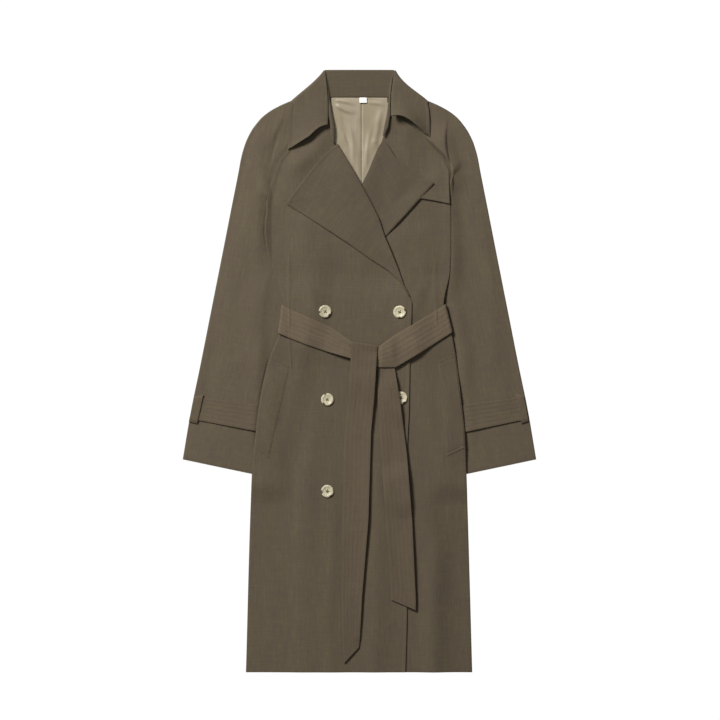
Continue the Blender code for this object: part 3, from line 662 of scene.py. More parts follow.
def make_sleeve(side):
    """One sleeve, its columns closest where the body's edge crosses it."""
    hand = HAND[side]
    front_flats, bend, back_flats = 76, 12, 24
    hidden, beside, dense = 8, 14, 12.0      # columns under the body, and along its edge
    columns = TURN_STEPS + front_flats + bend + back_flats + TURN_STEPS
    rows = 190
    radius = (FRONT_LEVEL - BACK_LEVEL) / 2
    known = {}

    def row_ends(j, on_front):
        """Seam, outer fold and length of a row, and where the body's edge crosses it."""
        if (j, on_front) not in known:
            row = SLEEVE_ROWS["row"][-1] * j / rows
            outer_v = read(SLEEVE_ROWS, "outer", row)
            outer_u = read(SILHOUETTE, "outer", outer_v)
            end_v = read(SLEEVE_ROWS, "front" if on_front else "back", row)
            end_u = sleeve_seam(FRONT_RAGLAN if on_front else BACK_RAGLAN, side, end_v)
            length = hypot(outer_u - end_u, outer_v - end_v)
            cross = 0.3
            for _ in range(4):
                edge = abs(front_outer(side, mid(end_v, outer_v, cross)))
                cross = max((edge - end_u) / (outer_u - end_u), 0.0)
            start = max(cross * length - 3, EDGE_TURN + 1.5)
            marks = ((0, EDGE_TURN), (hidden, start), (hidden + beside, start + dense),
                     (front_flats, length - radius))
            known[j, on_front] = end_u, end_v, outer_u, outer_v, length, marks
        return known[j, on_front]

    def place(i, j):
        on_front = i <= TURN_STEPS + front_flats + bend / 2
        end_u, end_v, outer_u, outer_v, length, marks = row_ends(j, on_front)
        closed = 1 - past_armpit(side, end_v, -40, -22)
        from_end = i if on_front else columns - i
        steps = front_flats if on_front else back_flats
        if from_end < TURN_STEPS:
            along, drop = turned(from_end, EDGE_TURN, closed)
        elif from_end <= TURN_STEPS + steps:
            if not on_front:
                marks = ((0, EDGE_TURN), (steps, length - radius))
            along, drop = spaced(from_end - TURN_STEPS, marks), 0.0
        else:
            angle = (from_end - TURN_STEPS - steps) / bend * pi
            along, drop = length - radius + radius * sin(angle), radius * (1 - cos(angle))
        u = hand * mid(end_u, outer_u, along / length)
        v = mid(end_v, outer_v, along / length)
        if not on_front:
            inside = rise(along, 4, 30) * rise(length - along, 4, 30)
            soft = folds_at(SLEEVE_BACK_FOLDS, u, v) * inside
            return u, v, over_collar(u, v) + BACK_LEVEL + drop + soft
        crown, soft = sleeve_form(side, u, v, outer_u, length - along)
        puff = crown * (1 - rise(v, 850, 960)) + soft * rise(along, 2, 9)
        follow = ground(hand * end_u, end_v) * (1 - rise(along, 4, 40))
        lift = max(over_collar(u, v), follow * past_armpit(side, end_v, -18, -2))
        tucked = LAP_TUCK * (1 - rise(along, 2, 7)) + SEAM_DRAW * bell(along - SEAM_STITCH, 1.1)
        return u, v, lift + FRONT_LEVEL + puff - drop - tucked * lapped(side, end_v)

    def seam_place(j):
        start = row_ends(j, True)[-1][1][1]
        return TURN_STEPS + hidden + beside * (SEAM_STITCH - start) / dense, j

    sleeve = lay("sleeve_cloth_" + side, sleeve_cloth, columns, rows, place, WALL,
                 tilted(hand * 11))
    seam = [seam_place(j) for j in range(RAGLAN_ROW[side], rows - 14, 2)]
    sew("raglan_stitches_" + side, place, [seam], WALL)
    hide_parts("sleeve_" + side)


# Painted light: the sleeves' wool is made 1.06 times as bright as the body's, for the light they
# catch.
sleeve_cloth = wool_cloth("sleeve_cloth", 1.06)
make_sleeve("left")
make_sleeve("right")


# --- fronts ----------------------------------------------------------------------------
# The wearer's right front buttons over the left one. Each runs from its free edge to the
# side, where it turns down to the back, and to the raglan seam; a waist dart shapes each.
FRONT_TOP = 1055.0
OVER_EDGE = table(        # the over front: roll line, then the straight edge
    "height edge",
    (0, 87), (118, 90), (426, 91), (500, 94), (591, 95.5), (659, 98), (700, 99), (711, 97),
    (733, 85), (787, 66), (828, 48), (868, 35), (926, 3.5), (970, -21.5), (1016, -48),
    (1050, -53),
)
UNDER_EDGE = table(       # the under front: hidden edge, then the roll line
    "height edge",
    (0, -78), (700, -84), (740, -74), (828, -44), (890, -16), (926, 4), (960, 20),
    (1017, 42), (1050, 52),
)
BODY_FOLDS = table(       # the larger folds first
    FOLD_COLUMNS,
    (118, 560, 130, -20, 26, 26, 2.4),
    (146, 330, 142, -20, 18, 22, 3),
    (-54, 450, -54, -20, 12, 22, 2.3),
    (-82, 570, -100, -20, 26, 26, 1.2),
    (-140, 400, -158, -20, 24, 24, 1.3),
    (-98, 890, -112, 745, 26, 26, 1.4),
    (120, 860, 122, 745, 22, 22, 1.6),
    (30, 520, 38, -20, 20, 20, 1),
    (176, 330, 190, -20, 17, 17, -1),
    (-176, 420, -190, 200, 13, 13, 0.8),
    (-20, 880, 10, 730, 20, 20, 0.9),
    (60, 740, 44, 660, 16, 16, 0.8),
    (-120, 760, -96, 690, 12, 12, -0.8),
    (140, 770, 128, 690, 12, 12, -0.9),
    (156, 900, 160, 760, 10, 10, 0.8),
    (-116, 1030, -134, 880, 24, 24, 1.6),
    (96, 1040, 112, 900, 20, 20, 1.2),
)
CREASE_COLUMNS = "from_u from_v to_u to_v width height"
CHEST = table(            # the chest swells a little beyond the lapels' upper edges
    CREASE_COLUMNS,
    (-63, 1030, -137, 931, 18, 4.8),
    (96, 1050, 84, 960, 16, 2.4),
)
DARTS = table(            # the waist dart of each front, a fine raised seam
    "top_u top_v foot_u foot_v",
    (-133, 806, -133.5, 640),
    (-134, 645, -129, 572),
    (143, 800, 146, 655),
)
DART_HEIGHT, DART_WIDTH = 1.3, 1.5
CHEST_FOOT = 890
ON_FRONT = (-143, -92)    # where the over front climbs on the under front,
NECK = (940, 1000)        # up to the open neck,
ON_LAPEL = (-85, -30)     # and on the lapel of the under front,
LAPEL_BAND = (735, 800, 945, 1002)
OFF_EDGE = (8, 44)        # and where what lies on both comes down beyond the over front's edge
TURNED_HEIGHT, TURNED_WIDTH = 0.42, 4.4   # the turning inside a stitched edge thickens it,
SEAM_DEPTH, SEAM_PLACE = 0.22, 6.6        # and the seam beside it draws it in


def wrinkles_at(lines, u, v):
    """Height of creases that run between two places."""
    total = 0.0
    for from_u, from_v, to_u, to_v, width, height in zip(*lines.values()):
        run_u, run_v = to_u - from_u, to_v - from_v
        length = hypot(run_u, run_v)
        along = ((u - from_u) * run_u + (v - from_v) * run_v) / length ** 2
        if -0.1 < along < 1.1:
            away = ((u - from_u) * run_v - (v - from_v) * run_u) / length
            away += 0.3 * width * sin(6.0 * along + from_u)
            total += height * window(along, -0.1, 0.3, 0.6, 1.1) * bell(away, width)
    return total


def dart_height(u, v):
    total = 0.0
    for top_u, top_v, foot_u, foot_v in zip(*DARTS.values()):
        along = (top_v - v) / (top_v - foot_v)
        away = u - mid(top_u, foot_u, along)
        fade = window(along, 0.0, 0.2, 0.85, 1.0)
        total = max(total, DART_HEIGHT * fade * bell(away, DART_WIDTH))
    return total


def raglan_lap(u, v):
    """Rise of a front's edge over the sleeve's along the raglan seam."""
    side = side_of(u)
    return LAP_RISE * lapped(side, v) * rise(abs(u) - abs(front_outer(side, v)), -9, -1)


def under_level(u, v):
    """Middle of the under front's wall."""
    cloth = folds_at(BODY_FOLDS, u, v) + uneven(u, v, 55, 0.45) + dart_height(u, v)
    if v > CHEST_FOOT:
        cloth += wrinkles_at(CHEST, u, v)
    return ground(u, v) + FRONT_LEVEL + cloth + raglan_lap(u, v)


def over_level(u, v):
    """Middle of the over front's wall: it climbs on the under front and on its lapel."""
    overlap = (LAYER + 0.3) * rise(u, *ON_FRONT) * (1 - rise(v, *NECK))
    lapel = (LAYER + 0.8) * rise(u, *ON_LAPEL) * window(v, *LAPEL_BAND)
    return under_level(u, v) + overlap + lapel


def top_of_fronts(u, v):
    """Top of the two fronts together."""
    edge = read(OVER_EDGE, "edge", v)
    share = 1 - rise(u, edge + OFF_EDGE[0], edge + OFF_EDGE[1])
    return mid(under_level(u, v), over_level(u, v), share) + WALL / 2


def turned_edge(distance):
    """Height of a stitched edge, at a distance from it."""
    turning = 1 - rise(distance, TURNED_WIDTH, TURNED_WIDTH + 2)
    return TURNED_HEIGHT * turning - SEAM_DEPTH * bell(distance - SEAM_PLACE, 1.0)


DART_GUIDE = {            # the columns of a front crowd round this line
    "left": table("height dart", (0, -128), (572, -129), (645, -133.6), (806, -133.2),
                  (935, -130), (1055, -70)),
    "right": table("height dart", (0, 140), (655, 146), (800, 143), (935, 140), (1055, 66)),
}


def make_front(name, side, finish, inner, level, columns, rows):
    """A front, its columns closer along the free edge and along the dart."""
    hand = HAND[side]
    roll_inset = 3.2
    last = columns - TURN_STEPS
    edge_columns, dart_first, dart_columns = 9, int(last * 0.74), 12

    def place(i, j):
        v = FRONT_TOP * j / rows
        inset, drop = edge_turn(i, columns, EDGE_TURN, False, True, side_fold(side, v))[1:]
        free = read(inner, "edge", v) + hand * roll_inset * rise(v, 700, 718)
        outer = front_outer(side, v) + hand * LAP * lapped(side, v)
        guide = (read(DART_GUIDE[side], "dart", v) - free) / (outer - free)
        dart = mid(free, outer, min(max(guide, 0.3), 0.84))
        half = hand * min(4.5, abs(outer - dart) / 3)
        marks = ((0, free), (edge_columns, free + hand * min(9.0, abs(dart - free) / 4)),
                 (dart_first, dart - half), (dart_first + dart_columns, dart + half),
                 (last, outer))
        u = spaced(min(i, last), marks) + hand * inset
        ridge = turned_edge(abs(u - free)) * rise(v, 715, 695)
        return u, v, level(u, v) - drop + ridge

    panel = lay(name, finish, columns, rows, place, WALL)
    if side == "left":
        stitched = range(1, int(rows * 690 / FRONT_TOP), 4)
        sew("front_edge_stitches", place, [[(0.72 * edge_columns, j) for j in stitched]], WALL)
    return panel


# Painted shade: the under front, its storm flap and its welt take the body wool darkened to 0.955,
# for the shade beside the collar and on the coat's right side.
under_cloth_painted_shade = wool_cloth("under_cloth_painted_shade", 0.955)
under_panel = make_front("under_front_panel", "right", under_cloth_painted_shade, UNDER_EDGE, under_level,
                         92, 220)
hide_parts("front_under")
over_panel = make_front("over_front_panel", "left", body_cloth, OVER_EDGE, over_level, 118, 280)
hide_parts("front_over")


# --- lapels and storm flap ---------------------------------------------------------------
# The facings, turned out along the roll line into wide lapels. Only the roll is pressed, so
# the free edges stand off the chest. The storm flap lies under the smaller lapel.
LAPEL_TURN = 1.1
LAPEL_STITCH = 0.862      # share of the columns from roll to stitches
LAPEL_COLUMNS = "roll_u roll_v edge_u edge_v lift"
FLAP_FREE, FLAP_TOP = 88.0, 990.0
FLAP_FOOT = {"free": 903.0, "side": 889.0}
FLAP_SEAM_EASE, FLAP_FOLD_EASE = 0.5, 1.0


def numbered(columns, *rows):
    """A table whose rows are counted in a first column."""
    return table("row " + columns, *((k, *row) for k, row in enumerate(rows)))


OVER_LAPEL = numbered(
    LAPEL_COLUMNS,
    (-40.5, 1003, -53, 995, 0.6),
    (-33.5, 991, -71, 979, 0.8),
    (-19.5, 967, -103, 940, 1),
    (2, 929, -136, 897, 1.2),
    (7, 920, -138, 889, 1.4),
    (22.5, 891, -98, 864, 2.6),
    (37.5, 861, -62, 841, 3.4),
    (48, 828, -21, 814, 3.6),
    (59, 802, 20, 785, 3.4),
    (73, 768, 54, 763, 3),
    (85, 733, 77, 742, 2),
    (95.5, 713, 91, 719, 1),
)
UNDER_LAPEL = numbered(
    LAPEL_COLUMNS,
    (43, 1008, 51, 1006, 0.6),
    (36, 998, 68, 978, 0.8),
    (27, 977, 100, 951, 1.2),
    (16, 950, 138, 932, 1.2),
    (12, 942, 141, 928, 1.3),
    (3, 924, 112, 896, 1.4),
    (-3, 910, 84, 865, 1.2),
    (-8, 897, 58, 837, 0.6),
    (-12, 886, 44, 821, 0.2),
)


def straight(source, column, at):
    """Value of a column with straight lines between its rows, so corners stay sharp."""
    values = source[column]
    i = min(int(at), len(values) - 2)
    return values[i] + (values[i + 1] - values[i]) * (at - i)


def point_on(lines, line, row):
    """Point of a line that a table gives, such as its roll or its edge."""
    return straight(lines, line + "_u", row), straight(lines, line + "_v", row)


def step_along(lines, line, row, reach):
    """Short step along such a line, at a row."""
    start = point_on(lines, line, max(row - reach, 0.0))
    end = point_on(lines, line, min(row + reach, lines["row"][-1]))
    return end[0] - start[0], end[1] - start[1]


def on_line(start, end, share):
    """Point at a share of the way from one to another."""
    return mid(start[0], end[0], share), mid(start[1], end[1], share)


def toward_edge(share, width):
    """Spaces the rows closer near 1, where the stitched edge is."""
    return share / 0.75 * (1 - width) if share < 0.75 else 1 - width * (1 - share) / 0.25


def edge_angle(lines, row):
    """Angle between a row of a lapel and its free edge."""
    edge_u, edge_v = step_along(lines, "edge", row, 0.3)
    roll, edge = point_on(lines, "roll", row), point_on(lines, "edge", row)
    return atan2(edge_v, edge_u) - atan2(edge[1] - roll[1], edge[0] - roll[0])


def make_lapel(name, finish, lines, level, over_flap, grain, sewn):
    """A lapel, from its roll line to its free edges, stitched between two rows."""
    last = lines["row"][-1]
    parts, columns = 8, 60

    def place(i, j):
        row = last - j / parts
        roll, edge = point_on(lines, "roll", row), point_on(lines, "edge", row)
        share, inset, drop = edge_turn(i, columns, LAPEL_TURN, True, False)
        length = dist(roll, edge)
        share = toward_edge(share, min(12.0 / length, 0.25))
        share += (inset + WALL / 2) / length * (1 - share)
        u, v = on_line(roll, edge, share)
        lift = straight(lines, "lift", row) * share ** 3 + over_flap * LAYER * rise(u, 40, 80)
        roll_puff = 0.9 * window(length * share, 0.0, 9.0, 16.0, 60.0) * rise(length, 20, 60)
        ripple = 0.5 * share ** 2 * sin(row * 2.1 + 0.6)
        from_edge = length * (1 - share) * abs(sin(edge_angle(lines, row)))
        ridge = 0.25 * turned_edge(from_edge) - 0.8 * (1 - rise(from_edge, 0.0, 3.2))
        return u, v, level(u, v) + LAYER + lift + roll_puff + ripple + ridge - drop

    lapel = lay(name, finish, columns, last * parts, place, WALL, tilted(grain))
    seam = [(columns * LAPEL_STITCH, (last - k) * parts) for k in sewn]
    sew(name + "_stitches", place, [seam], WALL)
    return lapel


# Painted shade: the smaller lapel's wool is darkened to 0.85 for the shade it lies in.
small_lapel_painted_shade = wool_cloth("small_lapel_painted_shade", 0.85)
under_lapel = make_lapel("under_lapel_cloth", small_lapel_painted_shade, UNDER_LAPEL, under_level,
                         1, 34, (1.2, 7.0))
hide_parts("lapel_under")
# Painted shade: the larger lapel's wool is darkened to 0.93.
lapel_cloth = wool_cloth("lapel_cloth", 0.93)
over_lapel = make_lapel("over_lapel_cloth", lapel_cloth, OVER_LAPEL, over_level,
                        0, -32, (1.2, 10.0))
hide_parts("lapel_over")


def make_storm_flap():
    columns, rows = 30, 44

    def place(i, j):
        share = i / columns
        foot = mid(FLAP_FOOT["free"], FLAP_FOOT["side"], share) + 1.2 * sin(pi * share)
        v = mid(FLAP_TOP, foot, toward_edge(1 - j / rows, 0.12))
        outer = front_outer("right", v) - FLAP_SEAM_EASE
        u = mid(FLAP_FREE, outer - FLAP_FOLD_EASE * side_fold("right", v), share)
        lift = 1.8 * (1 - rise(v, foot, foot + 26)) + turned_edge(v - foot)
        return u, v, under_level(u, v) + LAYER + lift

    flap = lay("storm_flap_cloth", under_cloth_painted_shade, columns, rows, place, WALL)
    sew("storm_flap_stitches", place, [[(1, 6.0), (columns, 6.0)]], WALL)
    return flap


storm_flap = make_storm_flap()
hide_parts("storm_flap")


# --- collar ------------------------------------------------------------------------------
# One long fall on a stand. The fall folds over along its top edge and lies on the shoulders
# as two pointed leaves; the stand's inner face shows at the back of the neck.
LEAF = table(             # roll line and tip of the leaf on each front
    "hand low_u low_v corner_u tip_u tip_v bow turns hollow curl",
    (-1, 60, 1039, 67, 136, 992, 5.5, 2.2, 2.5, 5),
    (1, 60, 1055, 68.5, 133.5, 1016, 17, 1, 5, 15),
)
SHOULDER = (132.0, 1083.0)
FALL_EDGE = 1079.0
LEAF_LEVEL = 9.2
CORNER_LEVEL = 6.2        # where the leaf meets the fold over the shoulder
FLOOR_LEVEL = COLLAR_WALL / 2
LEAF_WAVE = 4.0
ROLL_BOW = 3.6
LEAF_DEPTH, LEAF_WIDTH = 100.0, 74.0
CORNER_EASE, CORNER_DIP = 4.0, 0.8
STAND_LEVEL = 3.9
COLLAR_TURN = (STAND_LEVEL - COLLAR_WALL / 2 - GAP - 0.4 * COLLAR_WALL) / 2
STAND = numbered(         # neck seam to roll edge, from the centre back round to the front end
    "seam_u seam_v roll_u roll_v lift",
    (0, 1092.3, 0, 1144, 0),
    (22, 1092.3, 24, 1144, 0),
    (42, 1092.3, 46, 1144, 0),
    (52, 1092.3, 66, 1143.8, 0),
    (55, 1092.3, 62.2, 1122, 2),
    (56, 1091.3, 59.8, 1104, 3.6),
    (55, 1083, 58.8, 1091, 4.6),
    (54, 1070, 58.1, 1075, 5.2),
    (51.5, 1054, 57.8, 1057, 5.8),
    (47, 1034, 54, 1036, 6.2),
    (43.5, 1018, 46.5, 1018.6, 5.6),
)
STAND_END = {             # how much further down, out and up each end is
    -1: (13.0, 4.5, 0.0),
    1: (0.0, 1.0, 2.0),
}
# Painted shade: the collar's wool is darkened to 0.95.
collar_cloth = wool_cloth("collar_cloth", 0.95)


def row_of(source, hand):
    """The row of a table for one hand, -1 on the left and 1 on the right."""
    return {name: values[source["hand"].index(hand)] for name, values in source.items()}


def top_level(share, along, curl=0.0):
    """Level of a leaf, from its roll (share 0) to its edge, and from its tip to the fold."""
    level = mid(CORNER_LEVEL, LEAF_LEVEL, rise(share + (1 - along), 0.0, 0.35))
    free_edge = curl * (1 - along) ** 3 * window(share, -0.3, 0.05, 0.45, 1.1)
    return level + LEAF_WAVE * (1 - along) ** 2 * sin(pi * share) + free_edge


def hollow_at(leaf, way):
    """How far the fold over the shoulder is hollowed in from a straight line."""
    return leaf["hollow"] * 6.75 * way * (1 - way) ** 2


def to_edge(start, end, share, step):
    """Point on a line from the roll to the outer edge, its share of it, and the turn's drop."""
    length = dist(start, end)
    inset, drop = turned(step, COLLAR_TURN)
    free = length - inset - COLLAR_WALL / 2
    way = 1 - free * (1 - share) / length
    return *on_line(start, end, way), way, drop


def make_fall():
    """The fall: a leaf, the fold over the shoulder, the back, and the same again."""
    leaf_parts, bend, back_parts = 34, 10, 28
    columns = 2 * (leaf_parts + bend) + back_parts
    flats = 44
    rows = TURN_STEPS + flats

    def place(i, j):
        step = min(rows - j, TURN_STEPS)
        share = toward_edge(max(rows - j - TURN_STEPS, 0) / flats, 0.13)
        hand = -1 if i <= columns / 2 else 1
        k = i if hand < 0 else columns - i
        leaf = row_of(LEAF, hand)
        corner = (leaf["corner_u"], LENGTH)
        line = dist(corner, SHOULDER)
        out = ((corner[1] - SHOULDER[1]) / line, (SHOULDER[0] - corner[0]) / line)
        if k <= leaf_parts:
            along = 1 - toward_edge(1 - k / leaf_parts, 0.10)
            start = on_line((leaf["low_u"], leaf["low_v"]), corner, along)
            end = on_line((leaf["tip_u"], leaf["tip_v"]), SHOULDER, along)
            u, v, way, drop = to_edge(start, end, share, step)
            arc = max(sin(leaf["turns"] * pi * way), -0.1) * max(1 - way, 0.0) ** 0.6
            v += leaf["bow"] * (1 - along) ** 2 * arc
            u -= ROLL_BOW * sin(pi * along) * max(1 - way, 0.0) ** 2
            ridge = turned_edge(min(LEAF_DEPTH * along, LEAF_WIDTH * (1 - way)))
            level = top_level(way, along, leaf["curl"]) + ridge * rise(1 - along, 0.0, 0.12)
            pull = ((level - FLOOR_LEVEL) / 2 + COLLAR_WALL / 2) * along ** 6
            pull += hollow_at(leaf, way) * along ** 3
            return hand * (u - out[0] * pull), v - out[1] * pull, level - drop
        if k <= leaf_parts + bend:
            u, v, way, drop = to_edge(corner, SHOULDER, share, step)
            angle = (k - leaf_parts) / bend * pi
            level = top_level(way, 1.0)
            radius = (level - FLOOR_LEVEL) / 2
            pull = radius + COLLAR_WALL / 2 + hollow_at(leaf, way) - (radius - drop) * sin(angle)
            z = (level + FLOOR_LEVEL) / 2 + (radius - drop) * cos(angle)
            return hand * (u - out[0] * pull), v - out[1] * pull, z
        across = (k - leaf_parts - bend) / (back_parts / 2)
        pull = (top_level(1.0, 1.0) - FLOOR_LEVEL) / 2 + COLLAR_WALL / 2
        start = ((corner[0] - out[0] * CORNER_EASE) * (1 - across),
                 LENGTH - CORNER_DIP * (1 - across) ** 4)
        end = ((SHOULDER[0] - out[0] * pull) * (1 - across),
               mid(SHOULDER[1] - out[1] * pull, FALL_EDGE, rise(across, 0, 0.4)))
        u, v, way, drop = to_edge(start, end, share, step)
        pull = hollow_at(leaf, way) * (1 - across) ** 2
        return hand * (u - out[0] * pull), v - out[1] * pull, FLOOR_LEVEL + drop

    fall = lay("collar_fall_cloth", collar_cloth, columns, rows, place,
               COLLAR_WALL)
    low, outer, top = 5.5, 7.2, rows - TURN_STEPS - 2
    sew("collar_stitches", place, [
        [(leaf_parts - 1, outer), (low, outer), (low, top)],
        [(columns - leaf_parts + 1, outer), (columns - low, outer), (columns - low, top)],
    ], COLLAR_WALL)
    return fall


def make_stand():
    """The stand, from the front end on the left round the neck to the one on the right."""
    half = STAND["row"][-1]
    parts, flats = 6, 14
    columns, rows = 2 * half * parts, flats + TURN_STEPS

    def place(i, j):
        row = abs(i / parts - half)
        hand = -1 if i / parts <= half else 1
        seam, roll = point_on(STAND, "seam", row), point_on(STAND, "roll", row)
        top = 1 - rise(row, 3.0, 3.6)
        share, inset, drop = edge_turn(j, rows, COLLAR_TURN, False, True, top)
        share += (inset - top * COLLAR_WALL / 2 * share) / dist(seam, roll)
        down, out, up = STAND_END[hand]
        u, v = on_line(seam, roll, share)
        u += out * rise(row, 8.5, 10.0)
        v -= down * rise(row, 8.0, 10.0)
        rounded = 0.9 * rise(row, 6.0, 7.5) * sin(pi * share)
        lift = straight(STAND, "lift", row) * (1 - (1 - share) ** 2 * (1 - rise(row, 5.0, 7.0)))
        lift += up * window(row, 5.0, 7.0, 9.0, 10.0) * share
        return hand * u, v, STAND_LEVEL + lift - drop + rounded

    # Painted shade: the stand's inner face is darkened to 0.88.
    return lay("collar_stand_cloth", wool_cloth("stand_cloth", 0.88),
               columns, rows, place, COLLAR_WALL, tilted(90))


collar_fall = make_fall()
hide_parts("collar_fall")
collar_stand = make_stand()
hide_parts("collar_stand")


# --- lining and neck tab -----------------------------------------------------------------
# The back is lined with beige satin in two halves with a centre seam. It shows in the open
# neck, a little slack, with soft diagonal wrinkles. A bare woven tab is sewn at its top.
LINING_WALL = 1.0
LINING_SEAM = 4.0
LINING_LEVEL = WALL + GAP + 0.2 + LINING_WALL / 2
TAB_WIDTH, TAB_HEIGHT, TAB_WALL = 14.0, 10.0, 0.7
TAB_LEVEL = LINING_LEVEL + LINING_WALL + GAP + 1.2
LINING_EDGE = table(
    "height half",
    (872, 24), (926, 36), (1017, 66), (1060, 64), (1075, 60), (1083, 53), (1091, 53),
)
OPEN_NECK = table(
    "height half",
    (926, 3), (970, 22), (1016, 42), (1050, 48), (1091, 54),
)
WRINKLES = table(
    CREASE_COLUMNS,
    (-52, 1088, -8, 1079, 2.6, 1.7),
    (-56, 1078, -6, 1062, 4, 2.6),
    (-52, 1052, -24, 990, 6, 2.6),
    (-38, 1066, -16, 1000, 4.5, -0.8),
    (-20, 1040, -8, 960, 5, 1.4),
    (10, 1084, 50, 1076, 2.6, 1.2),
    (20, 1040, 12, 950, 4, 1.2),
    (42, 1066, 22, 990, 5.5, 1.9),
    (30, 1012, 34, 990, 5, 1.2),
    (-6, 1000, 0, 930, 3.5, 0.7),
)


def satin(name):
    """Satin lining: smooth and glossy along the warp, with the faintest ribs."""
    finish, tree, shader = new_finish(name)
    yarns = yarn_places(tree)
    warp = stretched_noise(tree, yarns, 900.0, 14.0)
    mixed = weighed(tree, (warp, 0.5), (stretched_noise(tree, yarns, 24.0, 24.0), 0.5))
    fill(shader, {
        "Base Color": colour_ramp(tree, mixed, (0.30, (0.215, 0.176, 0.116)),
                                  (0.50, (0.252, 0.208, 0.140)), (0.70, (0.288, 0.242, 0.168))),
        "Normal": relief(tree, warp, 0.0001),
        "Roughness": between(tree, mixed, 0.40, 0.54),
        "Anisotropic": 0.5,
        "Sheen Weight": 0.2,
    })
    return finish


lining_satin = satin("lining_satin")


def lining_level(u, v):
    """Middle of the lining's wall: slack in the open neck, and drawn in along its seam."""
    open_half = read(OPEN_NECK, "half", v)
    slack = rise(open_half - abs(u - 2.0), 0.0, 12.0) * rise(BACK_TOP - v, 0.0, 8.0)
    seam = 0.8 * bell(u - LINING_SEAM, 1.4)
    soft = wrinkles_at(WRINKLES, u, v) + uneven(u, v, 16, 0.35) + 0.4 - seam
    return ground(u, v) + LINING_LEVEL + slack * soft


def make_lining(side):
    columns, rows = 34, 110
    seam = LINING_SEAM + HAND[side] * GAP / 2

    def place(i, j):
        v = mid(LINING_EDGE["height"][0], LINING_EDGE["height"][-1], j / rows)
        u = mid(seam, HAND[side] * read(LINING_EDGE, "half", v), i / columns)
        return u, v, lining_level(u, v)

    half = lay("satin_half_" + side, lining_satin, columns, rows, place,
               LINING_WALL)
    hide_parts("lining_" + side)


make_lining("left")
make_lining("right")

tab_tape, tape_tree, tape_shader = new_finish("tab_tape")
tape_weft = stretched_noise(tape_tree, yarn_places(tape_tree), 300.0, 1500.0)
fill(tape_shader, {
    "Base Color": colour_ramp(tape_tree, tape_weft,
                              (0.3, (0.74, 0.74, 0.72)), (0.7, (0.86, 0.86, 0.84))),
    "Roughness": 0.6,
})


def make_tab():
    columns, rows = 28, 20

    def place(i, j):
        u, v = TAB_WIDTH * i / columns, BACK_TOP - TAB_HEIGHT * (1 - j / rows)
        curl = 0.9 * (1 - j / rows) ** 2 + 0.3 * sin(pi * i / columns)
        return u, v, ground(u, v) + TAB_LEVEL + curl

    return lay("bare_tab", tab_tape, columns, rows, place, TAB_WALL)


bare_tab = make_tab()
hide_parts("neck_tab")


# --- pocket welts ------------------------------------------------------------------------
# A slanted welt at each hip, stitched flat along its inner edge and its two ends; it
# follows the front that it is sewn to.
WELTS = table(            # inner corners, and the heights of the corners at the side fold
    "hand top_u top_v foot_u foot_v side_top_v side_foot_v",
    (-1, -132, 581, -172, 408, 599, 428),
    (1, 149, 591, 165, 410, 602, 426),
)
WELT_EASE = 1.9
WELT_WALL = 0.6
WELT_LEVEL = WALL / 2 + WELT_WALL / 2 + 0.1


def make_welt(side, finish, level):
    columns, rows = 26, 100
    hand = HAND[side]
    welt = row_of(WELTS, hand)

    def place(i, j):
        across, along = i / columns, j / rows
        foot_v = mid(welt["foot_v"], welt["side_foot_v"], across)
        v = mid(foot_v, mid(welt["top_v"], welt["side_top_v"], across), along)
        inner = mid(welt["foot_u"], welt["top_u"], along)
        u = mid(inner, front_outer(side, v) - hand * WELT_EASE, across)
        swell = 0.35 * sin(pi * min(across * 1.2, 1.0)) * sin(pi * along)
        sewn_ends = bell(min(along, 1 - along) - 0.026, 0.008)
        sunk = 0.42 * (1 - rise(across, 0.0, 0.10)) + 0.5 * sewn_ends
        return u, v, level(u, v) + WELT_LEVEL + swell - sunk

    welt_cloth = lay("welt_cloth_" + side, finish, columns, rows, place,
                     WELT_WALL, tilted(hand * 6))
    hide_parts("pocket_welt_" + side)
    seams = [[(i, j) for i in range(1, columns, 3)] for j in (2.6, rows - 2.6)]
    seams.append([(2.6, j) for j in range(3, rows - 1, 4)])
    sew("welt_stitches_" + side, place, seams, WELT_WALL)


make_welt("left", body_cloth, over_level)
make_welt("right", under_cloth_painted_shade, under_level)


# --- cuff straps and loops ---------------------------------------------------------------
# A strap goes round each wrist under a loop; both are two layers of cloth, and the straps
# are stitched all over in parallel rows.
STRAPS = {                # inner top, outer top, inner foot, outer foot
    "left": ((-182, 506), (-306, 522), (-187, 456), (-315, 480)),
    "right": ((186, 506), (306, 522), (190, 454), (315, 480)),
}
LOOPS = {
    "left": ((-296, 527), (-313, 524), (-308, 472), (-324, 476)),
    "right": ((296, 529), (312, 526), (307, 472), (321, 477)),
}
STRAP_STITCHES = (2.2, 8, 13.5, 19, 24.5, 29.8)
ROW_SLANT = 0.21          # how much the rows of a sleeve drop towards the inner seam
HEM_CORNER = 335.0


def on_sleeve(u, v):
    """Top of a sleeve's front layer near the cuff."""
    outer_u = read(SILHOUETTE, "outer", v + ROW_SLANT * (HEM_CORNER - abs(u)))
    crown, soft = sleeve_form(side_of(u), u, v, outer_u, outer_u - abs(u))
    return FRONT_LEVEL + WALL / 2 + crown + soft


def strap_level(u, v, along):
    """Middle of a strap's wall: its lower edge stands off the sleeve."""
    off = 0.6 + 1.3 * rise(abs(u), 290, 215)
    quilted = 0.16 * sin(pi * 5.7 * along) ** 2
    return on_sleeve(u, v) + GAP + STRAP_WALL / 2 + off * (1 - along) ** 2 + quilted


def loop_level(u, v, along):
    """Middle of a loop's wall, over the strap and down to the sleeve at both ends."""
    over_strap = (STRAP_WALL + GAP + 0.9) * window(along, -0.1, 0.14, 0.86, 1.1)
    return on_sleeve(u, v) + GAP + WALL / 2 + over_strap


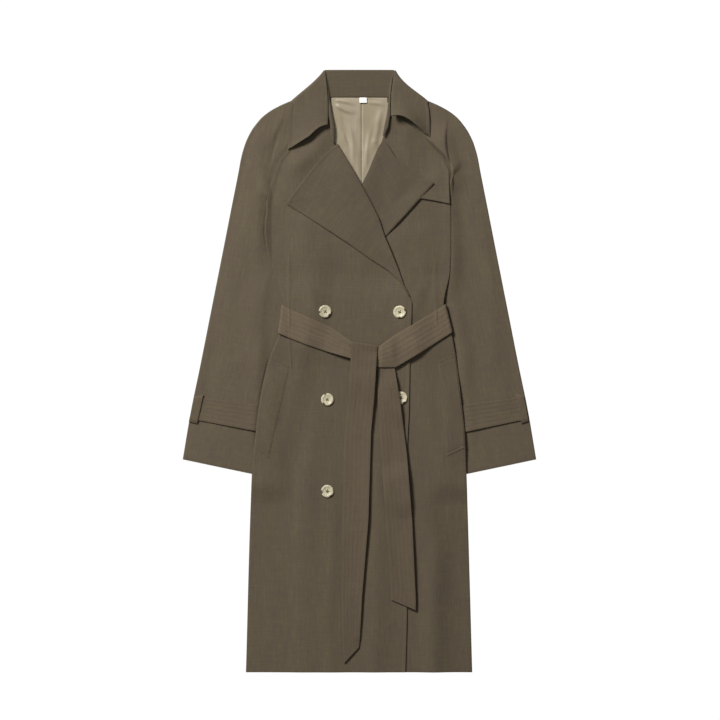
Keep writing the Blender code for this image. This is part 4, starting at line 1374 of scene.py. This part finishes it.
def make_band(name, corners, wall, level, columns, rows, angle, sewn_rows=()):
    """A flat strip between four corners: inner top, outer top, inner foot, outer foot."""
    inner_top, outer_top, inner_foot, outer_foot = corners

    def place(i, j):
        foot = on_line(inner_foot, outer_foot, i / columns)
        head = on_line(inner_top, outer_top, i / columns)
        u, v = on_line(foot, head, j / rows)
        return u, v, level(u, v, j / rows)

    band = lay(name, strap_cloth, columns, rows, place, wall, tilted(angle))
    if sewn_rows:
        seams = [[(i, j) for i in range(1, columns, 2)] for j in sewn_rows]
        sew(name + "_stitches", place, seams, wall)
    return band


# Painted light: the straps' wool is made 1.03 times as bright; its slight red warmth is the
# cloth's own.
strap_cloth = wool_cloth("strap_cloth", 1.03, 1.02)
for cuff, hand in HAND.items():
    strap = make_band("strap_cloth_" + cuff, STRAPS[cuff], STRAP_WALL, strap_level, 84, 32,
                      90 - hand * 8, STRAP_STITCHES)
    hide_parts("cuff_strap_" + cuff)
    loop = make_band("loop_cloth_" + cuff, LOOPS[cuff], WALL, loop_level, 12, 48, -hand * 12)
    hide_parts("cuff_loop_" + cuff)


# --- belt --------------------------------------------------------------------------------
# A tie belt of two layers, stitched in parallel rows. One stretch lies behind the back, one
# on each front; they cross in a half knot, and two tails of unequal length hang from it.
BELT_COLUMNS = "top_u top_v low_u low_v"
BELT_LEFT = numbered(
    BELT_COLUMNS,
    (-148, 698, -155, 645),
    (-134, 690, -136, 636),
    (-95, 673, -100, 622),
    (-52, 654, -58, 608),
    (-16, 628, -20, 597),
    (6, 618, 4, 590),
)
BELT_RIGHT = numbered(
    BELT_COLUMNS,
    (164, 699, 177, 646),
    (135, 681, 147, 627),
    (99, 659, 108, 602),
    (66, 640, 69, 579),
    (36, 617.5, 36, 579),
    (-9, 612, -9, 593),
)
BELT_BACK = numbered(
    BELT_COLUMNS,
    (-148, 698, -155, 645),
    (-100, 696, -102, 643),
    (-50, 694, -50, 641),
    (5, 693, 5, 640),
    (60, 694, 62, 641),
    (110, 696, 115, 643),
    (164, 699, 177, 646),
)
TAIL_LONG = numbered(
    BELT_COLUMNS,
    (-15, 628, 34, 621),
    (-16, 612, 33, 606),
    (-17, 590, 32, 585),
    (-21, 521, 28, 521),
    (-28, 455, 22, 455),
    (-33, 289, 17, 289),
    (-34, 144, 5, 144),
    (-32, 60, 1, 70),
    (-29, 18, -1, 48),
)
TAIL_SHORT = numbered(
    BELT_COLUMNS,
    (34, 600, 66, 600),
    (34, 577, 67, 577),
    (35, 509, 78, 509),
    (41, 415, 90, 415),
    (50, 289, 100, 289),
    (60, 151, 107, 140),
    (60, 138, 107, 118),
)
BUTTONS = table(
    "number u v covered",
    (1, -65, 685, 0),
    (2, 76, 684, 0),
    (3, -61, 518, 0),
    (4, 79, 521, 1),
    (5, -61, 344, 0),
    (6, 81, 346, 1),
)
BUTTON_HEIGHT = 4.0
ON_FRONTS = GAP + SLACK + BELT_WALL / 2
FRONT_TO_BACK_BELT = SLACK + GAP + BELT_WALL / 2 + FRONT_LEVEL + WALL / 2 + ON_FRONTS
BELT_TURN = (FRONT_TO_BACK_BELT - GAP - 0.4 * BELT_WALL) / 2
TAIL_TURN = 1.2
BELT_ROWS = 6              # channels between the rows of stitches
BELT_WIDTH = 0.053
# Painted light and shade: the belt stretches are made 1.23 times as bright and the tails are
# darkened to 0.97; the red warmth of both is the cloth's own.
belt_cloth = wool_cloth("belt_cloth", 1.23, 1.03)
tail_cloth = wool_cloth("tail_cloth", 0.97, 1.035)


def over_buttons(u, v):
    """Lift of a belt tail over the buttons that it hides."""
    lift = 0.0
    for button_u, button_v, covered in zip(BUTTONS["u"], BUTTONS["v"], BUTTONS["covered"]):
        distance = hypot(u - button_u, v - button_v)
        lift = max(lift, covered * (BUTTON_HEIGHT + GAP) * rise(distance, 62, 22))
    return lift


def back_belt_level(u, v):
    return over_sleeve(u, v) + BELT_WALL / 2


def left_level(u, v):
    return top_of_fronts(u, v) + ON_FRONTS


def right_level(u, v):
    return left_level(u, v) + (BELT_WALL + GAP) * rise(u, 150, 92)


def long_level(u, v):
    return left_level(u, v) + 2 * (BELT_WALL + GAP) * rise(v, 490, 568)


def short_level(u, v):
    return left_level(u, v) + over_buttons(u, v)


def make_belt(name, finish, lines, level, lift, parts, radius, turned_in=True, behind=False):
    """A stretch of belt. Its start turns round the coat's side or over the half knot; the
    stretch behind the coat turns up at both ends."""
    last = lines["row"][-1]
    columns = last * parts + TURN_STEPS * (turned_in + behind)
    rows = 30
    run = sum(dist(point_on(lines, "top", k), point_on(lines, "top", k + 1))
              for k in range(last))

    def place(i, j):
        share, inset, drop = edge_turn(i, columns, radius, turned_in, behind)
        row = share * last
        step = step_along(lines, "top", row, 0.25)
        shift = (inset + BELT_WALL / 2) * turned_in * max(1 - row, 0.0)
        shift += (inset - BELT_WALL / 2) * behind * max(1 - (last - row), 0.0)
        across = j / rows
        u, v = on_line(point_on(lines, "low", row), point_on(lines, "top", row), across)
        u += step[0] / hypot(*step) * shift
        v += step[1] / hypot(*step) * shift
        crown = 0.5 * min(4 * across * (1 - across), 0.6)
        quilted = 0.30 * sin(pi * BELT_ROWS * across) ** 2 + crown
        z = level(u, v) + (drop if behind else -drop)
        return u, v, z + lift(row, across, u, v) + quilted

    def grain(i, j, u, v):
        return j / rows * BELT_WIDTH, i / columns * run / 1000

    band = lay(name, finish, columns, rows, place, BELT_WALL, grain, 0.48)
    if not behind:
        stitched = range(TURN_STEPS * turned_in + 1, columns - 1, 3)
        sew(name + "_stitches", place, [[(i, rows * k / BELT_ROWS) for i in stitched]
                                        for k in range(1, BELT_ROWS)], BELT_WALL)
    return band


def flat_belt(row, across, u, v):
    return 0.0


def left_pull(row, across, u, v):
    """Small folds where the left stretch is drawn into the knot."""
    tuck = 2.0 * bell(across - 0.86, 0.10) - 0.9 * bell(across - 0.66, 0.08)
    off = 0.3 + 5.0 * rise(row, 2.4, 3.8) + 2.2 * (1 - rise(row, 0.5, 1.3))
    return 0.3 * sin(pi * across) + rise(row, 3.3, 4.5) * tuck + off * (1 - across) ** 2


def right_pull(row, across, u, v):
    """The right stretch rolls under along its lower edge beside the knot."""
    roll = 2.2 - 1.4 * (1 - across) ** 4 + 1.2 * sin(pi * across)
    near = window(row, 2.7, 3.3, 3.75, 3.98)
    return 0.3 * sin(pi * across) + 0.9 * (1 - across) ** 2 + near * roll


def long_pull(row, across, u, v):
    """The long tail's right edge stands off the coat; across is 0 on that side."""
    off = window(row, 0.8, 1.8, 5.6, 8.0)
    return 0.3 * sin(pi * across) + off * (4.6 * (1 - across) ** 1.6 + 0.5 * sin(v / 37.0))


def short_pull(row, across, u, v):
    """The short tail's edge stands off less."""
    off = window(row, 0.5, 1.5, 5.6, 6.4)
    return 0.3 * sin(pi * across) + off * (2.2 * (1 - across) ** 2 + 0.4 * sin(v / 31.0 + 1.0))


belt_back = make_belt("belt_behind", belt_cloth, BELT_BACK, back_belt_level, flat_belt,
                      14, BELT_TURN, behind=True)
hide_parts("belt_back")
belt_left = make_belt("belt_over_left", belt_cloth, BELT_LEFT, left_level, left_pull,
                      22, BELT_TURN)
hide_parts("belt_left")
belt_right = make_belt("belt_over_right", belt_cloth, BELT_RIGHT, right_level, right_pull,
                       22, BELT_TURN)
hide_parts("belt_right")
tail_long = make_belt("tail_cloth_long", tail_cloth, TAIL_LONG, long_level, long_pull,
                      30, TAIL_TURN)
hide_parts("belt_tail_long")
tail_short = make_belt("tail_cloth_short", tail_cloth, TAIL_SHORT, short_level, short_pull,
                       34, TAIL_TURN, turned_in=False)
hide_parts("belt_tail_short")


# --- buttons -----------------------------------------------------------------------------
# Six cream horn buttons in three pairs, turned with a raised rim and a sunk middle with four
# holes, dark brown in patches near the rim. Brown thread crosses between the holes.
BUTTON_RADIUS = 12.0
HOLE_RADIUS = 1.05
HOLE_SPREAD = 2.6
BUTTON_SPIN = 0.12        # each button is sewn on turned this much further
STRAND_LEVEL, STRAND, STRAND_GAP = 2.35, 0.3, 0.45
BUTTON_PROFILE = table(   # from the middle of the top out to the rim and back under
    "radius height",
    (0, 2.05), (4.6, 2.1), (6.3, 2.25), (7.6, 2.8), (8.8, 3.2), (9.9, 3.3), (10.9, 3.1),
    (11.7, 2.6), (12, 2), (11.8, 1.35), (11, 0.7), (9.6, 0.25), (7.6, 0), (0, 0),
)
SMOKE = {                 # brown patches of each button: angle in degrees, and reach
    1: ((188, 0.40), (318, 0.48)),
    2: ((22, 0.45), (268, 0.45)),
    3: ((112, 0.45), (232, 0.50)),
    4: ((300, 0.50), (120, 0.40)),
    5: ((186, 0.50), (306, 0.45)),
    6: ((60, 0.50), (210, 0.60)),
}


def button_horn(number):
    """Polished cream horn: fine veins, and smoky brown patches at the rim."""
    finish, tree, shader = new_finish("horn_%d" % number)
    place = add_node(tree, "TexCoord", {}).outputs["Object"]
    offset = (0.31 * number, 0.17 * number, 0.05 * number)
    shifted = add_node(tree, "Mapping", {"Vector": place, "Location": offset}).outputs["Vector"]
    veins = stretched_noise(tree, shifted, 420.0, 150.0, 3.0)
    clouds = stretched_noise(tree, shifted, 260.0, 260.0, 3.0)
    smoke = add_node(tree, "Attribute", {}, attribute_name="smoke").outputs["Fac"]
    smoky = colour_ramp(tree, weighed(tree, (smoke, 0.75), (clouds, 0.5)),
                        (0.46, (0.0, 0.0, 0.0)), (0.84, (1.0, 1.0, 1.0)))
    cream = colour_ramp(tree, veins, (0.35, (0.40, 0.355, 0.235)), (0.65, (0.54, 0.49, 0.345)))
    brown = (0.085, 0.060, 0.036, 1.0)
    mixed = add_node(tree, "Mix", {0: smoky, 6: cream, 7: brown}, data_type="RGBA")
    fill(shader, {"Base Color": mixed.outputs[2], "Roughness": between(tree, veins, 0.34, 0.46)})
    return finish


def turn_disc(leaning):
    """A button's blank, spun from its profile."""
    disc = bmesh.new()
    last = None
    for radius, height in zip(*BUTTON_PROFILE.values()):
        point = disc.verts.new((radius / 1000, 0, height / 1000))
        if last:
            disc.edges.new((last, point))
        last = point
    bmesh.ops.spin(disc, geom=disc.verts[:] + disc.edges[:], cent=(0, 0, 0), axis=(0, 0, 1),
                   dvec=(0, 0, 0), angle=2 * pi, steps=48, use_merge=True,
                   use_normal_flip=False, use_duplicate=False)
    bmesh.ops.remove_doubles(disc, verts=disc.verts, dist=0.00001)
    bmesh.ops.recalc_face_normals(disc, faces=disc.faces)
    bmesh.ops.transform(disc, verts=disc.verts, matrix=leaning)
    return put_form("blank", disc)


def rod(form, place, radius, length, segments):
    """A rod along Z: a drill for a hole, or a strand of thread."""
    bmesh.ops.create_cone(form, cap_ends=True, segments=segments, radius1=radius / 1000,
                          radius2=radius / 1000, depth=length / 1000, matrix=place)


def drill_holes(blank, leaning, spin):
    """The mesh of a blank with its four holes."""
    drills = bmesh.new()
    for k in range(4):
        angle = (k + 0.5) * pi / 2 + spin
        hole = Vector((HOLE_SPREAD * cos(angle), HOLE_SPREAD * sin(angle), BUTTON_HEIGHT / 2))
        rod(drills, leaning @ Matrix.Translation(hole / 1000), HOLE_RADIUS, 3 * BUTTON_HEIGHT, 16)
    drill = put_form("drill", drills)
    blank.modifiers.new("Holes", "BOOLEAN").object = drill
    bpy.context.view_layer.update()
    drilled = bpy.data.meshes.new_from_object(
        blank.evaluated_get(bpy.context.evaluated_depsgraph_get()))
    bpy.data.objects.remove(blank)
    bpy.data.objects.remove(drill)
    return drilled


def make_button(number, u, v):
    """A button that leans with the cloth under it, sewn on with crossed strands."""
    reach = BUTTON_RADIUS
    lean_u = (top_of_fronts(u + reach, v) - top_of_fronts(u - reach, v)) / (2 * reach)
    lean_v = (top_of_fronts(u, v + reach) - top_of_fronts(u, v - reach)) / (2 * reach)
    around = [(0, 0)] + [(reach * cos(k), reach * sin(k)) for k in range(7)]
    rest = max(top_of_fronts(u + x, v + y) - lean_u * x - lean_v * y for x, y in around)
    leaning = Matrix.Translation(world_place(u, v, rest)) @ Matrix(
        ((1, 0, 0, 0), (0, 1, 0, 0), (lean_u, lean_v, 1, 0), (0, 0, 0, 1)))
    spin = BUTTON_SPIN * number
    disc = drill_holes(turn_disc(leaning), leaning, spin)
    middle = Vector(world_place(u, v, 0))
    smoke = disc.attributes.new("smoke", "FLOAT", "POINT")
    for vert, value in zip(disc.vertices, smoke.data):
        away = (vert.co - middle) / (BUTTON_RADIUS / 1000)
        for angle, size in SMOKE[number]:
            patch = Vector((cos(radians(angle)), sin(radians(angle)), away.z))
            value.value = max(value.value, rise((away - patch).length, size, 0.1))
    disc.materials.clear()
    disc.materials.append(button_horn(number))
    disc.shade_smooth()
    disc.set_sharp_from_angle(angle=0.7)
    button = put("horn_button_%d" % number, disc)
    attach(button, "root")
    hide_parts("button_%d" % number)

    strands = bmesh.new()
    for k in (0, 1):
        raised = leaning @ Matrix.Translation((0, 0, (STRAND_LEVEL + STRAND * k) / 1000))
        for offset in (-STRAND_GAP, 0.0, STRAND_GAP):
            lying = (raised @ Matrix.Rotation((k + 0.5) * pi / 2 + spin, 4, "Z")
                     @ Matrix.Translation((0, offset / 1000, 0))
                     @ Matrix.Rotation(pi / 2, 4, "Y"))
            rod(strands, lying, STRAND, 2 * HOLE_SPREAD, 8)
    add_piece("button_thread_%d" % number, strands, thread_finish)


for number, button_u, button_v in zip(BUTTONS["number"], BUTTONS["u"], BUTTONS["v"]):
    make_button(number, button_u, button_v)


# --- closing ---------------------------------------------------------------------------
bpy.context.view_layer.update()
